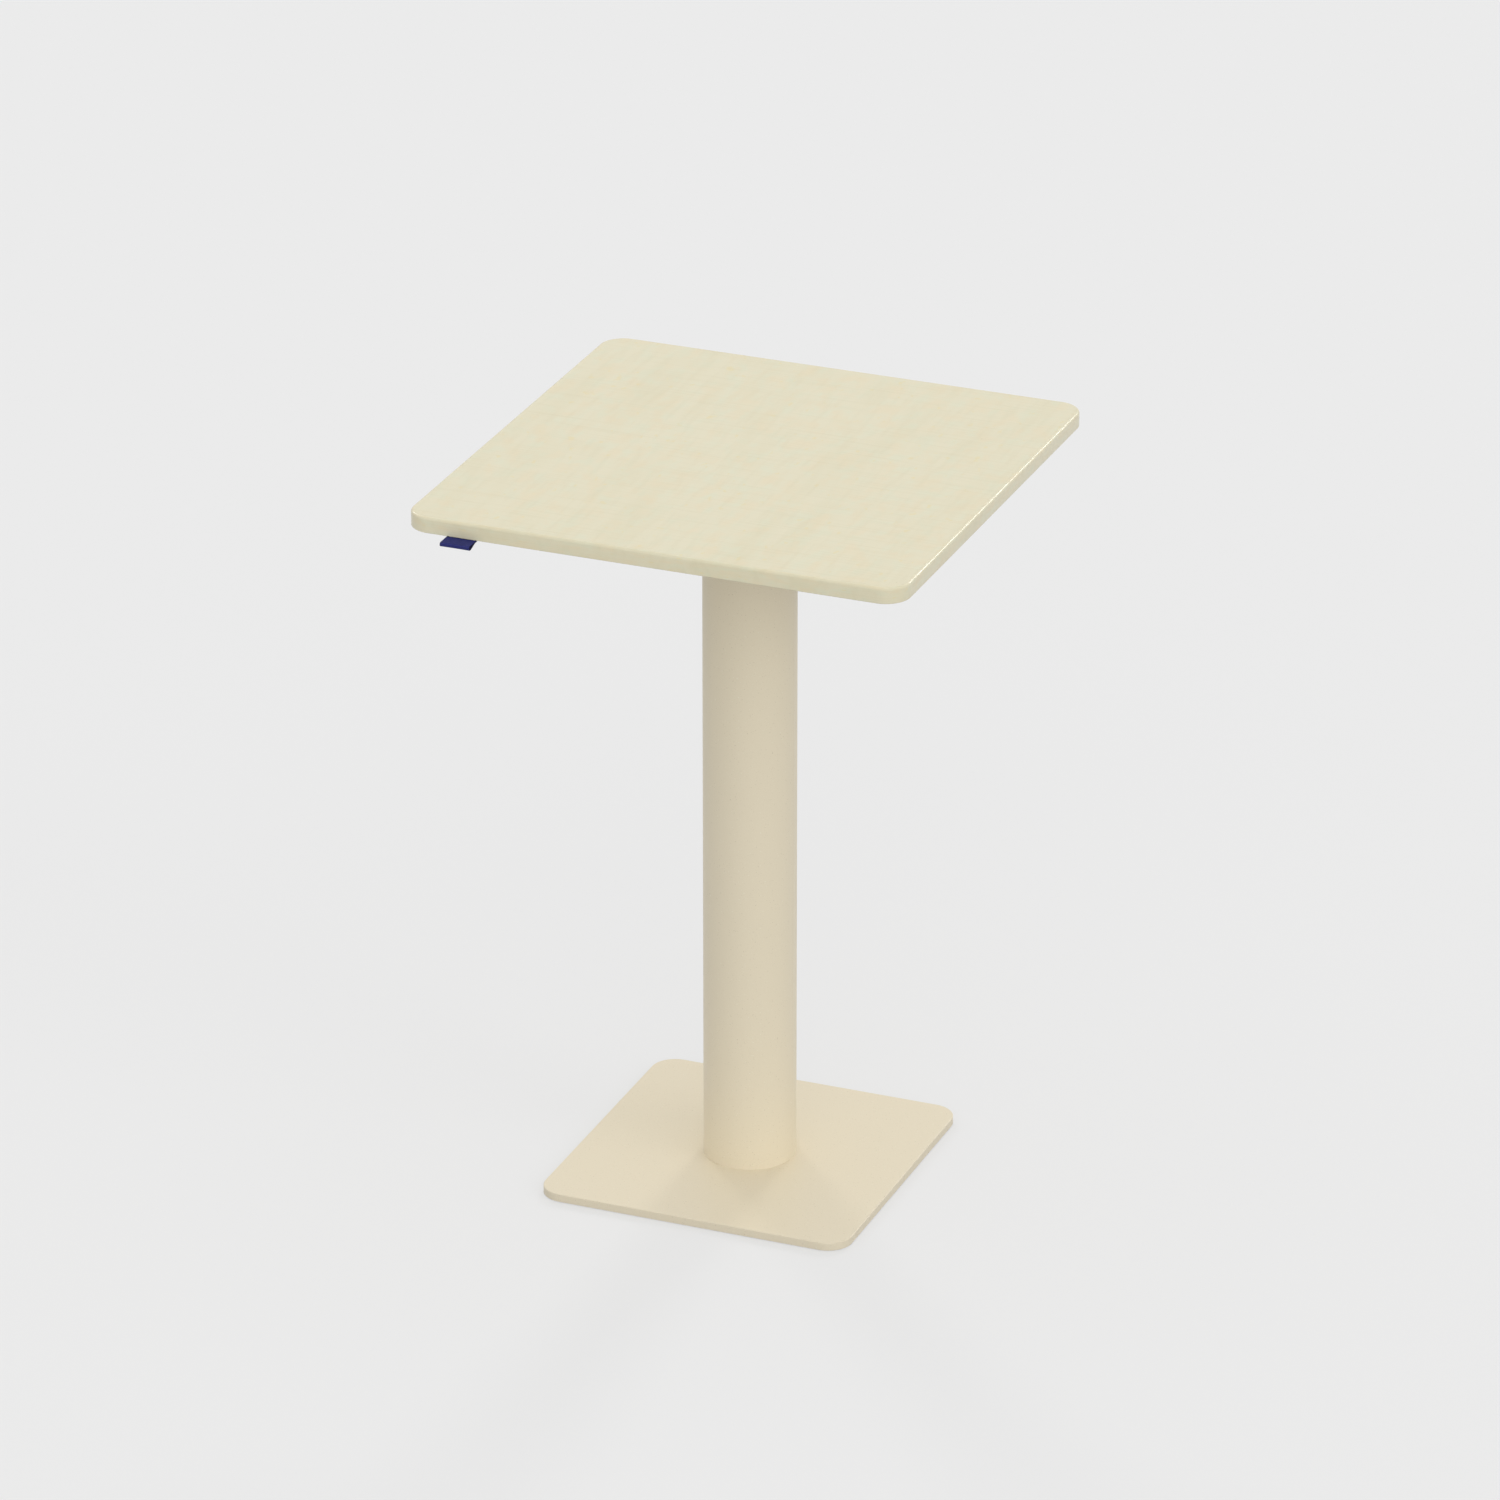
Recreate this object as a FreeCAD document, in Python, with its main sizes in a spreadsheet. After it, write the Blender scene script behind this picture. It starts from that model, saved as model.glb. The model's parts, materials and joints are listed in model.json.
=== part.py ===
import FreeCAD, Part

# Telescoping pedestal table: a square wooden top on a two-tube round column over a flat square foot.
# Millimetres, +Z up. The origin lies on the floor under the column's axis, and the top's front faces -Y.
# The table stands at its lowest setting. A lockable gas spring inside the column carries the top, and a
# lever under the right-hand side of the top presses the release pin that runs down the spring's rod.

import os
import re

import Sketcher

# Each size is a name, its value and what it measures.
SIZES = (
    ("table_height", 743, "floor to table surface at the lowest setting"),
    ("slide_clearance", 0.1, "radial gap of pieces that slide in each other"),
    ("fit_clearance", 0.1, "gap between pieces that are assembled and stay put"),
    ("rest_gap", 0.3, "gap where a moving piece comes to rest on another"),
    ("cut_overrun", 1, "how far a cut runs past the face that it opens"),
    ("top_side", 500, "side of the square table top"),
    ("top_thickness", 16, "thickness of the board"),
    ("top_corner_radius", 25, "radius of the board's corners, seen from above"),
    ("top_edge_radius", 3, "rounding of the board's upper edge"),
    ("top_lower_edge_break", 1, "broken lower edge of the board"),
    ("mat_thickness", 0.7, "anti-slip sheet under the foot plate"),
    ("mat_inset", 1.5, "setback of the sheet from the plate's edge"),
    ("base_side", 322, "side of the square foot plate"),
    ("base_thickness", 8, "thickness of the foot plate"),
    ("base_corner_radius", 25, "radius of the foot plate's corners, seen from above"),
    ("base_edge_break", 0.6, "broken upper edge of the foot plate"),
    ("base_screw_inset", 13.55, "foot screws inside the standing tube's bore"),
    ("base_screw_diameter", 8, "shank of a foot screw"),
    ("base_screw_head_diameter", 16, "countersunk head of a foot screw"),
    ("base_screw_cover", 2, "foot disc left above a screw's tip"),
    ("foot_disc_thickness", 12, "disc in the column's foot that takes the screws"),
    ("outer_tube_diameter", 91.5, "outside of the standing tube"),
    ("outer_tube_wall", 2.5, "wall of the standing tube"),
    ("guide_gap", 3.25, "radial room for the guide bushes between the two tubes"),
    ("inner_tube_wall", 2.5, "wall of the rising tube"),
    ("head_space", 46, "from the standing tube's guide bush up to the mounting plate"),
    ("collar_flange", 4, "flange of the upper guide bush on the tube's rim"),
    ("collar_sleeve", 50, "upper guide bush inside the tube"),
    ("collar_lead", 1.2, "chamfers of the upper guide bush"),
    ("bush_lip", 4, "lip of the lower guide bush under the rising tube"),
    ("bush_sleeve", 60, "lower guide bush around the rising tube"),
    ("peg_diameter", 8, "peg that locks the lower guide bush to its tube"),
    ("peg_height", 30, "peg above the rising tube's end"),
    ("rail_width", 10, "width of the rail that keeps the top from turning"),
    ("rail_room", 0.75, "gap between the rail and the rising tube"),
    ("rail_head_gap", 4, "from the rail's head up to the upper guide bush"),
    ("buffer_height", 10, "rubber ring that stops the rising tube"),
    ("buffer_width", 9, "width of the rubber ring"),
    ("buffer_room", 1, "gap between the rubber ring and the standing tube"),
    ("buffer_chamfer", 1.5, "chamfers of the rubber ring"),
    ("stand_diameter", 32, "outside of the gas spring's stand"),
    ("stand_bore", 20, "bore of the gas spring's stand"),
    ("stand_height", 162, "gas spring's stand on the foot disc"),
    ("stand_flange", 5, "thickness of the stand's flange"),
    ("flange_room", 6.25, "gap between that flange and the rubber ring"),
    ("cylinder_diameter", 28, "outside of the gas spring's cylinder"),
    ("cylinder_wall", 2, "wall of the cylinder"),
    ("cylinder_floor", 6, "closed end of the cylinder"),
    ("cylinder_rim", 2, "rolled rim that holds the rod guide"),
    ("stud_diameter", 10, "stud under the cylinder"),
    ("stud_length", 15, "length of that stud"),
    ("rod_diameter", 10, "gas spring's rod"),
    ("rod_lead", 14, "bare rod above the cylinder at the lowest setting"),
    ("rod_proud", 3, "rod end above the upper nut"),
    ("spigot_shoulder", 1, "step from the rod to the spigot that carries the piston"),
    ("seal_height", 8, "rod seal"),
    ("guide_height", 24, "rod guide"),
    ("piston_height", 20, "piston"),
    ("piston_room", 0.4, "gap between piston and cylinder"),
    ("piston_floor_gap", 6, "piston nut above the cylinder's floor at the lowest setting"),
    ("piston_nut_height", 6, "nut that holds the piston"),
    ("piston_nut_flats", 13, "across the flats of that nut"),
    ("ring_height", 3, "piston ring"),
    ("ring_width", 2, "radial width of the piston ring"),
    ("nut_height", 6, "nuts that clamp the rod to the head plate"),
    ("nut_flats", 17, "across the flats of those nuts"),
    ("head_plate_thickness", 8, "disc in the rising tube that hangs on the rod"),
    ("vent_diameter", 8, "vent holes in the head plate"),
    ("vent_inset", 12.5, "vent holes inside the rising tube's bore"),
    ("pin_diameter", 5, "release pin inside the rod"),
    ("pin_clearance", 0.08, "radial gap of the release pin in the rod"),
    ("pin_proud", 5, "release pin above the rod's end"),
    ("pin_tail", 3, "release pin's foot above the rod's foot"),
    ("pin_chamfer", 0.8, "chamfer on the release pin's head"),
    ("pivot_drop", 18, "lever's pivot below the mounting plate"),
    ("lever_thickness", 5, "thickness of the lever plate"),
    ("lever_reach", 200, "from the column's axis to the lever's outer end"),
    ("lever_bend", 100, "from the column's axis to the lever's bend"),
    ("lever_drop", 8, "how far the lever's outer stretch lies below its pivot"),
    ("lever_arm_height", 8, "height of the lever's outer arm"),
    ("nose_radius", 5, "round nose that presses the pin"),
    ("hub_radius", 8, "round hub at the pivot"),
    ("lever_slot_width", 10, "slot in the rising tube for the lever"),
    ("lever_slot_height", 20, "height of that slot"),
    ("lever_slot_radius", 3, "corners of that slot"),
    ("pivot_pin_diameter", 6, "pivot pin of the lever"),
    ("pivot_clearance", 0.08, "radial gap of the lever on its pin"),
    ("pivot_head_diameter", 9, "head of the pivot pin"),
    ("pivot_head", 2, "thickness of that head"),
    ("pivot_tail", 1.2, "pivot pin beyond its clip"),
    ("clip_thickness", 0.8, "clip on the pivot pin"),
    ("clip_width", 2.5, "radial width of that clip"),
    ("clip_groove_depth", 0.8, "groove for the clip"),
    ("cheek_thickness", 3, "cheeks of the lever's bracket"),
    ("cheek_gap", 0.3, "gap between cheek and lever"),
    ("cheek_crown", 8, "cheeks above the pivot's axis"),
    ("cheek_round_share", 0.333, "radius of the cheeks' upper corners, of the bracket's length"),
    ("bracket_room", 3, "gap between the bracket and the rising tube"),
    ("nut_room", 3.685, "gap between the bracket and the rod's nut"),
    ("bracket_base", 3, "bracket's floor on the head plate"),
    ("grip_length", 55, "moulded grip on the lever's end"),
    ("grip_width", 26, "width of the grip"),
    ("grip_height", 14, "height of the grip"),
    ("grip_overhang", 6, "grip beyond the lever's end"),
    ("grip_corner_radius", 9, "corners of the grip, seen from above"),
    ("grip_edge_break", 2, "broken edges of the grip"),
    ("scoop_radius", 22, "finger saddle under the grip"),
    ("scoop_depth", 1.6, "depth of that saddle"),
    ("mount_plate_side", 220, "square plate between column and board"),
    ("mount_plate_thickness", 5, "thickness of that plate"),
    ("mount_plate_radius", 20, "corners of that plate"),
    ("access_lip", 7.5, "mounting plate inside the rising tube's bore"),
    ("plate_screw_spacing", 170, "side of the square of screws that hold the board"),
    ("plate_screw_diameter", 6, "shank of such a screw"),
    ("plate_screw_short", 1, "insert left free beyond a screw's tip"),
    ("plate_screw_head_diameter", 11, "head of such a screw"),
    ("plate_screw_head", 4, "height of that head"),
    ("plate_hole_room", 0.3, "radial gap of such a screw in the plate"),
    ("insert_diameter", 10, "threaded insert in the board"),
    ("insert_length", 10, "length of the insert"),
    ("insert_room", 1, "hole beyond the insert's end"),
    ("label_width", 30, "width of the folded ribbon tab"),
    ("label_inset", 45, "from the board's left side to the tab"),
    ("label_reach", 16, "how far the tab stands out of the front edge"),
    ("label_tuck", 14, "ribbon glued under the board"),
    ("label_cloth", 0.7, "thickness of the ribbon"),
    ("label_loop", 4.2, "height of the loop at its fold"),
)
NAMES = {name for name, value, note in SIZES}

# Lengths and heights that follow from the sizes. Heights are above the floor at the lowest setting.
DERIVED = {
    "outer_bore": "outer_tube_diameter - 2 * outer_tube_wall",
    "inner_tube_diameter": "outer_bore - 2 * guide_gap",
    "inner_bore": "inner_tube_diameter - 2 * inner_tube_wall",
    "cylinder_bore": "cylinder_diameter - 2 * cylinder_wall",
    "rail_thickness": "guide_gap - fit_clearance - rail_room",
    "buffer_outside": "outer_bore / 2 - buffer_room",
    "buffer_inside": "buffer_outside - buffer_width",
    "stand_flange_radius": "buffer_inside - flange_room",
    "base_screw_offset": "(outer_bore / 2 - base_screw_inset) / sqrt(2)",
    "base_screw_length": "base_thickness + foot_disc_thickness - base_screw_cover",
    "plate_screw_length": "mount_plate_thickness + insert_length - plate_screw_short",
    "plate_screw_offset": "plate_screw_spacing / 2",
    "access_bore": "inner_bore - 2 * access_lip",
    "vent_radius": "inner_bore / 2 - vent_inset",
    "plate_top": "mat_thickness + base_thickness",
    "disc_top": "plate_top + foot_disc_thickness",
    "buffer_top": "disc_top + buffer_height",
    "bush_foot": "buffer_top + rest_gap",
    "bush_height": "bush_lip + bush_sleeve",
    "inner_foot": "bush_foot + bush_lip",
    "board_foot": "table_height - top_thickness",
    "mount_foot": "board_foot - mount_plate_thickness",
    "tube_rim": "mount_foot - head_space - collar_flange",
    "rail_length": "tube_rim - collar_sleeve - rail_head_gap - buffer_top",
    "pivot_level": "mount_foot - pivot_drop",
    "pin_top": "pivot_level - nose_radius - rest_gap",
    "rod_top": "pin_top - pin_proud",
    "head_top": "rod_top - rod_proud - nut_height",
    "head_foot": "head_top - head_plate_thickness",
    "lower_nut_foot": "head_foot - nut_height",
    "piston_stack": "piston_nut_height + piston_height",
    "cylinder_foot": "disc_top + stand_height",
    "cylinder_length": "lower_nut_foot - rod_lead - cylinder_foot",
    "guide_rise": "cylinder_length - cylinder_rim - guide_height",
    "seal_rise": "guide_rise - seal_height",
    "rod_foot": "cylinder_foot + cylinder_floor + piston_floor_gap",
    "rod_length": "rod_top - rod_foot",
    "rod_bore": "pin_diameter + 2 * pin_clearance",
    "spigot_diameter": "rod_diameter - 2 * spigot_shoulder",
    "ring_groove_foot": "(piston_height - ring_height) / 2 - fit_clearance",
    "ring_groove_head": "(piston_height + ring_height) / 2 + fit_clearance",
    "ring_outside": "cylinder_bore - 2 * slide_clearance",
    "ring_inside": "ring_outside - 2 * ring_width",
    "piston_outside": "cylinder_bore - 2 * piston_room",
    "bracket_start": "nut_flats / sqrt(3) + nut_room",
    "bracket_end": "inner_bore / 2 - bracket_room",
    "bracket_length": "bracket_end - bracket_start",
    "pivot_reach": "(bracket_start + bracket_end) / 2",
    "pivot_rise": "pivot_level - head_top",
    "cheek_radius": "cheek_round_share * bracket_length",
    "cheek_inside": "lever_thickness / 2 + cheek_gap",
    "cheek_outside": "cheek_inside + cheek_thickness",
    "cheek_top": "pivot_rise + cheek_crown",
    "clip_groove": "pivot_pin_diameter - 2 * clip_groove_depth",
    "clip_foot": "cheek_outside + fit_clearance",
    "clip_head": "clip_foot + clip_thickness + 2 * fit_clearance",
    "grip_start": "lever_reach + grip_overhang - grip_length",
    "front_edge": "-top_side / 2",
    "fold_centre": "front_edge - label_reach + label_loop / 2",
}

NEAR = 0.001  # heights closer than this count as one
UPRIGHT_SHARE = 0.999  # least share of a straight edge's direction that points the asked way
SCREWS_IN_SQUARE = 4
PEGS_IN_BUSH = 2

doc = FreeCAD.newDocument("pedestal_table")
sheet = doc.addObject("Spreadsheet::Sheet", "Sizes")
for row, (name, value, note) in enumerate(SIZES, start=1):
    sheet.set(f"A{row}", note)
    sheet.set(f"B{row}", str(value))
    sheet.setAlias(f"B{row}", name)
doc.recompute()

sub_parts = []


def cells(expression):
    """Spells an expression over named sizes and derived lengths in cells of the sheet."""

    def spell(match):
        word = match.group()
        if word in DERIVED:
            return f"({cells(DERIVED[word])})"
        return f"Sizes.{word}" if word in NAMES else word

    return re.sub(r"[a-z_]+", spell, expression)


def size(expression):
    """Value of an expression over named sizes."""
    return float(sheet.evalExpression(cells(expression)))


def bind(item, path, expression):
    """Ties one property of a document object to the sheet."""
    item.setExpression(path, cells(expression))


def move(item, **places):
    """Ties the place of a sub-part to the sheet."""
    for axis, expression in places.items():
        bind(item, f"Placement.Base.{axis}", expression)


def new_body(label, **places):
    """Starts a sub-part that is built from sketches."""
    body = doc.addObject("PartDesign::Body", label)
    body.Label = label
    move(body, **places)
    sub_parts.append(body)
    return body


def origin_feature(body, role):
    """Origin plane or axis of a body, found by its role."""
    return next(feature for feature in body.Origin.OriginFeatures if feature.Role == role)


def new_sketch(body, role, offset="0"):
    """Sketch on an origin plane of the body, moved along the plane's normal."""
    sketch = body.newObject("Sketcher::SketchObject", "Outline")
    sketch.AttachmentSupport = (origin_feature(body, role), [""])
    sketch.MapMode = "FlatFace"
    if offset != "0":
        bind(sketch, "AttachmentOffset.Base.z", offset)
    return sketch


def place_point(sketch, curve, end, across, along):
    """Ties a point of a sketch curve to the sheet by its distances from the sketch's origin."""
    for kind, axis, expression in (("DistanceX", -2, across), ("DistanceY", -1, along)):
        if expression == "0":
            sketch.addConstraint(Sketcher.Constraint("PointOnObject", curve, end, axis))
            continue
        rule = Sketcher.Constraint(kind, -1, 1, curve, end, size(expression))
        bind(sketch, f"Constraints[{sketch.addConstraint(rule)}]", expression)


def outline(sketch, points):
    """Closed outline through points; a third entry makes a half circle that reaches out to it."""
    spots = [FreeCAD.Vector(size(point[0]), size(point[1])) for point in points]
    ends = []
    for index, point in enumerate(points):
        start, end = spots[index - 1], spots[index]
        curve = Part.LineSegment(start, end)
        if len(point) > 2:
            crest = FreeCAD.Vector(size(point[2]), (start.y + end.y) / 2)
            curve = Part.Arc(start, crest, end)
        forward = curve.StartPoint.distanceToPoint(start) < curve.StartPoint.distanceToPoint(end)
        ends.append((sketch.addGeometry(curve), 1 if forward else 2, 2 if forward else 1))
    for index, point in enumerate(points):
        curve, first, last = ends[index]
        following, onward, beyond = ends[(index + 1) % len(points)]
        sketch.addConstraint(Sketcher.Constraint("Coincident", curve, last, following, onward))
        place_point(sketch, curve, last, point[0], point[1])
        if len(point) > 2:
            sketch.addConstraint(Sketcher.Constraint("Vertical", curve, 3, curve, last))


def circle(sketch, diameter, across="0", along="0"):
    """Circle about a point of the sketch."""
    centre = FreeCAD.Vector(size(across), size(along))
    curve = sketch.addGeometry(Part.Circle(centre, FreeCAD.Vector(0, 0, 1), size(diameter) / 2))
    rule = Sketcher.Constraint("Diameter", curve, size(diameter))
    bind(sketch, f"Constraints[{sketch.addConstraint(rule)}]", diameter)
    place_point(sketch, curve, 3, across, along)


def rectangle(sketch, left, right, low, high):
    """Rectangle between two distances across and two along."""
    outline(sketch, [(left, low), (right, low), (right, high), (left, high)])


def feature_of(body, kind, sketch, **choices):
    """Feature made from a sketch, with the chosen settings."""
    feature = body.newObject(f"PartDesign::{kind}", kind)
    feature.Profile = sketch
    for setting, choice in choices.items():
        setattr(feature, setting, choice)
    return feature


def pad(body, sketch, length, **choices):
    """Solid of one length on a sketch."""
    solid = feature_of(body, "Pad", sketch, **choices)
    bind(solid, "Length", length)
    doc.recompute()
    return solid


def cut(body, sketch, length, **choices):
    """Cut of one length through a sketch, which has to take material away."""
    before = body.Shape.Volume
    pocket = feature_of(body, "Pocket", sketch, **choices)
    bind(pocket, "Length", length)
    doc.recompute()
    if body.Shape.Volume >= before:
        raise ValueError(f"a cut in {body.Label} misses it")
    return pocket


def turn(body, points, axis="0", offset="0", role="XZ_Plane"):
    """Solid turned from (radius, height) points about an upright axis."""
    sketch = new_sketch(body, role, offset)
    reference = "V_Axis"
    if axis != "0":
        height = points[-1][1]
        foot, head = FreeCAD.Vector(size(axis), 0), FreeCAD.Vector(size(axis), size(height))
        centre = sketch.addGeometry(Part.LineSegment(foot, head), True)
        place_point(sketch, centre, 1, axis, "0")
        place_point(sketch, centre, 2, axis, height)
        points = [(f"{axis} + {radius}", height) for radius, height in points]
        reference = "Axis0"
    outline(sketch, points)
    solid = feature_of(body, "Revolution", sketch, ReferenceAxis=(sketch, [reference]))
    doc.recompute()
    return solid


def tube(body, outside, bore, length):
    """Round tube along the body's axis."""
    sketch = new_sketch(body, "XY_Plane")
    circle(sketch, outside)
    circle(sketch, bore)
    return pad(body, sketch, length)


def around(body, feature, count):
    """Repeats a feature about the body's upright axis."""
    pattern = body.newObject("PartDesign::PolarPattern", "Around")
    pattern.Originals = [feature]
    pattern.Axis = (origin_feature(body, "Z_Axis"), [""])
    pattern.Occurrences = count
    body.Tip = pattern
    doc.recompute()
    return pattern


def dress_edges(kind, measure, body, feature, amount, chosen):
    """Rounds or breaks the edges of a feature that a test chooses."""
    names = [f"Edge{index}" for index, edge in enumerate(feature.Shape.Edges, start=1) if chosen(edge)]
    dressing = body.newObject(f"PartDesign::{kind}", kind)
    dressing.Base = (feature, names)
    bind(dressing, measure, amount)
    doc.recompute()
    return dressing


def round_edges(body, feature, radius, chosen):
    """Rounds the edges of a feature that a test chooses."""
    return dress_edges("Fillet", "Radius", body, feature, radius, chosen)


def break_edges(body, feature, width, chosen):
    """Breaks the edges of a feature that a test chooses."""
    return dress_edges("Chamfer", "Size", body, feature, width, chosen)


def points_along(*direction):
    """Test for straight edges that run along a direction."""
    axis = FreeCAD.Vector(*direction)
    return lambda edge: abs(edge.tangentAt(edge.FirstParameter).dot(axis)) > UPRIGHT_SHARE


def lies_at(height):
    """Test for edges that lie flat at a height."""
    level = size(height)
    return lambda edge: max(abs(edge.BoundBox.ZMin - level), abs(edge.BoundBox.ZMax - level)) < NEAR


def square_block(body, side, height, corner):
    """Square plate with rounded corners."""
    sketch = new_sketch(body, "XY_Plane")
    rectangle(sketch, f"-({side}) / 2", f"({side}) / 2", f"-({side}) / 2", f"({side}) / 2")
    block = pad(body, sketch, height)
    return round_edges(body, block, corner, points_along(0, 0, 1))


def square_of(offset):
    """Centres of four holes in a square about the axis."""
    signs = ("", "-")
    return [(f"{across}{offset}", f"{along}{offset}") for across in signs for along in signs]


def drill(body, centres, diameter, depth=None, head=None):
    """Holes drilled upwards from the body's lower face, blind or through, plain or countersunk."""
    sketch = new_sketch(body, "XY_Plane")
    for across, along in centres:
        circle(sketch, diameter, across, along)
    before = body.Shape.Volume
    hole = feature_of(body, "Hole", sketch, ThreadType="None", Reversed=True, DrillPoint="Flat")
    bind(hole, "Diameter", diameter)
    hole.DepthType = "Dimension" if depth else "ThroughAll"
    if depth:
        bind(hole, "Depth", depth)
    if head:
        hole.HoleCutType = "Countersink"
        bind(hole, "HoleCutDiameter", head)
    doc.recompute()
    if body.Shape.Volume >= before:
        raise ValueError(f"a hole in {body.Label} misses it")
    return hole


def primitive(kind, label, lengths, **places):
    """Simple solid whose lengths and place are tied to the sheet."""
    solid = doc.addObject(f"Part::{kind}", label)
    for path, expression in lengths.items():
        bind(solid, path, expression)
    move(solid, **places)
    return solid


def combine(kind, label, base, tool):
    """Cut or common part of two solids."""
    result = doc.addObject(f"Part::{kind}", label)
    result.Base = base
    result.Tool = tool
    return result


def hexagon_nut(label, flats, height, bore, level):
    """Hexagon nut with a plain bore, lying at a height."""
    block_size = {"Circumradius": f"{flats} / sqrt(3)", "Height": height}
    hole_size = {"Radius": f"({bore}) / 2", "Height": height}
    block = primitive("Prism", f"{label}_hexagon", block_size, z=level)
    hole = primitive("Cylinder", f"{label}_bore", hole_size, z=level)
    return combine("Cut", label, block, hole)


def make_foot():
    """Foot plate, the sheet under it, and the screws and disc that hold the column."""
    mat = new_body("floor_mat")
    square_block(mat, "base_side - 2 * mat_inset", "mat_thickness", "base_corner_radius - mat_inset")

    plate = new_body("base_plate", z="mat_thickness")
    block = square_block(plate, "base_side", "base_thickness", "base_corner_radius")
    break_edges(plate, block, "base_edge_break", lies_at("base_thickness"))
    hole = "base_screw_diameter + 2 * fit_clearance"
    head = "base_screw_head_diameter + 2 * fit_clearance"
    drill(plate, square_of("base_screw_offset"), hole, head=head)

    screws = new_body("base_screws", z="mat_thickness")
    cone = "(base_screw_head_diameter - base_screw_diameter) / 2"
    screw = turn(
        screws,
        [
            ("0", "0"),
            ("base_screw_head_diameter / 2", "0"),
            ("base_screw_diameter / 2", cone),
            ("base_screw_diameter / 2", "base_screw_length"),
            ("0", "base_screw_length"),
        ],
        axis="base_screw_offset",
        offset="base_screw_offset",
    )
    around(screws, screw, SCREWS_IN_SQUARE)

    disc = new_body("foot_disc", z="plate_top")
    sketch = new_sketch(disc, "XY_Plane")
    circle(sketch, "outer_bore - 2 * fit_clearance")
    pad(disc, sketch, "foot_disc_thickness")
    depth = "base_screw_length - base_thickness + fit_clearance"
    drill(disc, square_of("base_screw_offset"), hole, depth)


def make_standing_tube():
    """Standing tube with its guide bush, rail and rubber stop."""
    length = "tube_rim - plate_top"
    tube(new_body("outer_tube", z="plate_top"), "outer_tube_diameter", "outer_bore", length)

    bore = "(inner_tube_diameter / 2 + slide_clearance)"
    sleeve = "outer_bore / 2 - fit_clearance"
    flange = "outer_tube_diameter / 2"
    turn(
        new_body("upper_guide_bush", z="tube_rim"),
        [
            (f"{bore} + collar_lead / 2", "collar_flange"),
            (bore, "collar_flange - collar_lead / 2"),
            (bore, "-collar_sleeve"),
            (sleeve, "-collar_sleeve"),
            (sleeve, "0"),
            (flange, "0"),
            (flange, "collar_flange - collar_lead"),
            (f"{flange} - collar_lead", "collar_flange"),
        ],
    )

    turn(
        new_body("bottom_buffer", z="disc_top"),
        [
            ("buffer_inside", "0"),
            ("buffer_outside", "0"),
            ("buffer_outside", "buffer_height - buffer_chamfer"),
            ("buffer_outside - buffer_chamfer", "buffer_height"),
            ("buffer_inside + buffer_chamfer", "buffer_height"),
            ("buffer_inside", "buffer_height - buffer_chamfer"),
        ],
    )

    outside = "outer_bore / 2 - fit_clearance"
    shell_size = {"Radius": outside, "Height": "rail_length"}
    shell = primitive("Cylinder", "rail_outside", shell_size, z="buffer_top")
    hollow_size = {"Radius": f"{outside} - rail_thickness", "Height": "rail_length"}
    hollow = primitive("Cylinder", "rail_inside", hollow_size, z="buffer_top")
    strip_size = {"Length": outside, "Width": "rail_width", "Height": "rail_length"}
    strip = primitive("Box", "rail_strip", strip_size, y="-rail_width / 2", z="buffer_top")
    rail = combine("Common", "guide_rail", combine("Cut", "rail_ring", shell, hollow), strip)
    sub_parts.append(rail)


def make_gas_spring_cylinder():
    """Gas spring's stand and cylinder with the guide and seal of the rod."""
    bore_top = "stand_height - stud_length"
    stud_hole = "stud_diameter / 2 + fit_clearance"
    turn(
        new_body("gas_spring_stand", z="disc_top"),
        [
            ("stand_bore / 2", "0"),
            ("stand_flange_radius", "0"),
            ("stand_flange_radius", "stand_flange"),
            ("stand_diameter / 2", "stand_flange"),
            ("stand_diameter / 2", "stand_height"),
            (stud_hole, "stand_height"),
            (stud_hole, bore_top),
            ("stand_bore / 2", bore_top),
        ],
    )

    lip = "rod_diameter / 2 + cylinder_rim / 2"
    turn(
        new_body("gas_cylinder", z="cylinder_foot"),
        [
            ("0", "-stud_length"),
            ("stud_diameter / 2", "-stud_length"),
            ("stud_diameter / 2", "0"),
            ("cylinder_diameter / 2", "0"),
            ("cylinder_diameter / 2", "cylinder_length"),
            (lip, "cylinder_length"),
            (lip, "cylinder_length - cylinder_rim"),
            ("cylinder_bore / 2", "cylinder_length - cylinder_rim"),
            ("cylinder_bore / 2", "cylinder_floor"),
            ("0", "cylinder_floor"),
        ],
    )

    plug = "cylinder_bore - 2 * fit_clearance"
    bore = "rod_diameter + 2 * slide_clearance"
    tube(new_body("rod_seal", z="cylinder_foot + seal_rise"), plug, bore, "seal_height")
    tube(new_body("rod_guide", z="cylinder_foot + guide_rise"), plug, bore, "guide_height")


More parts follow.
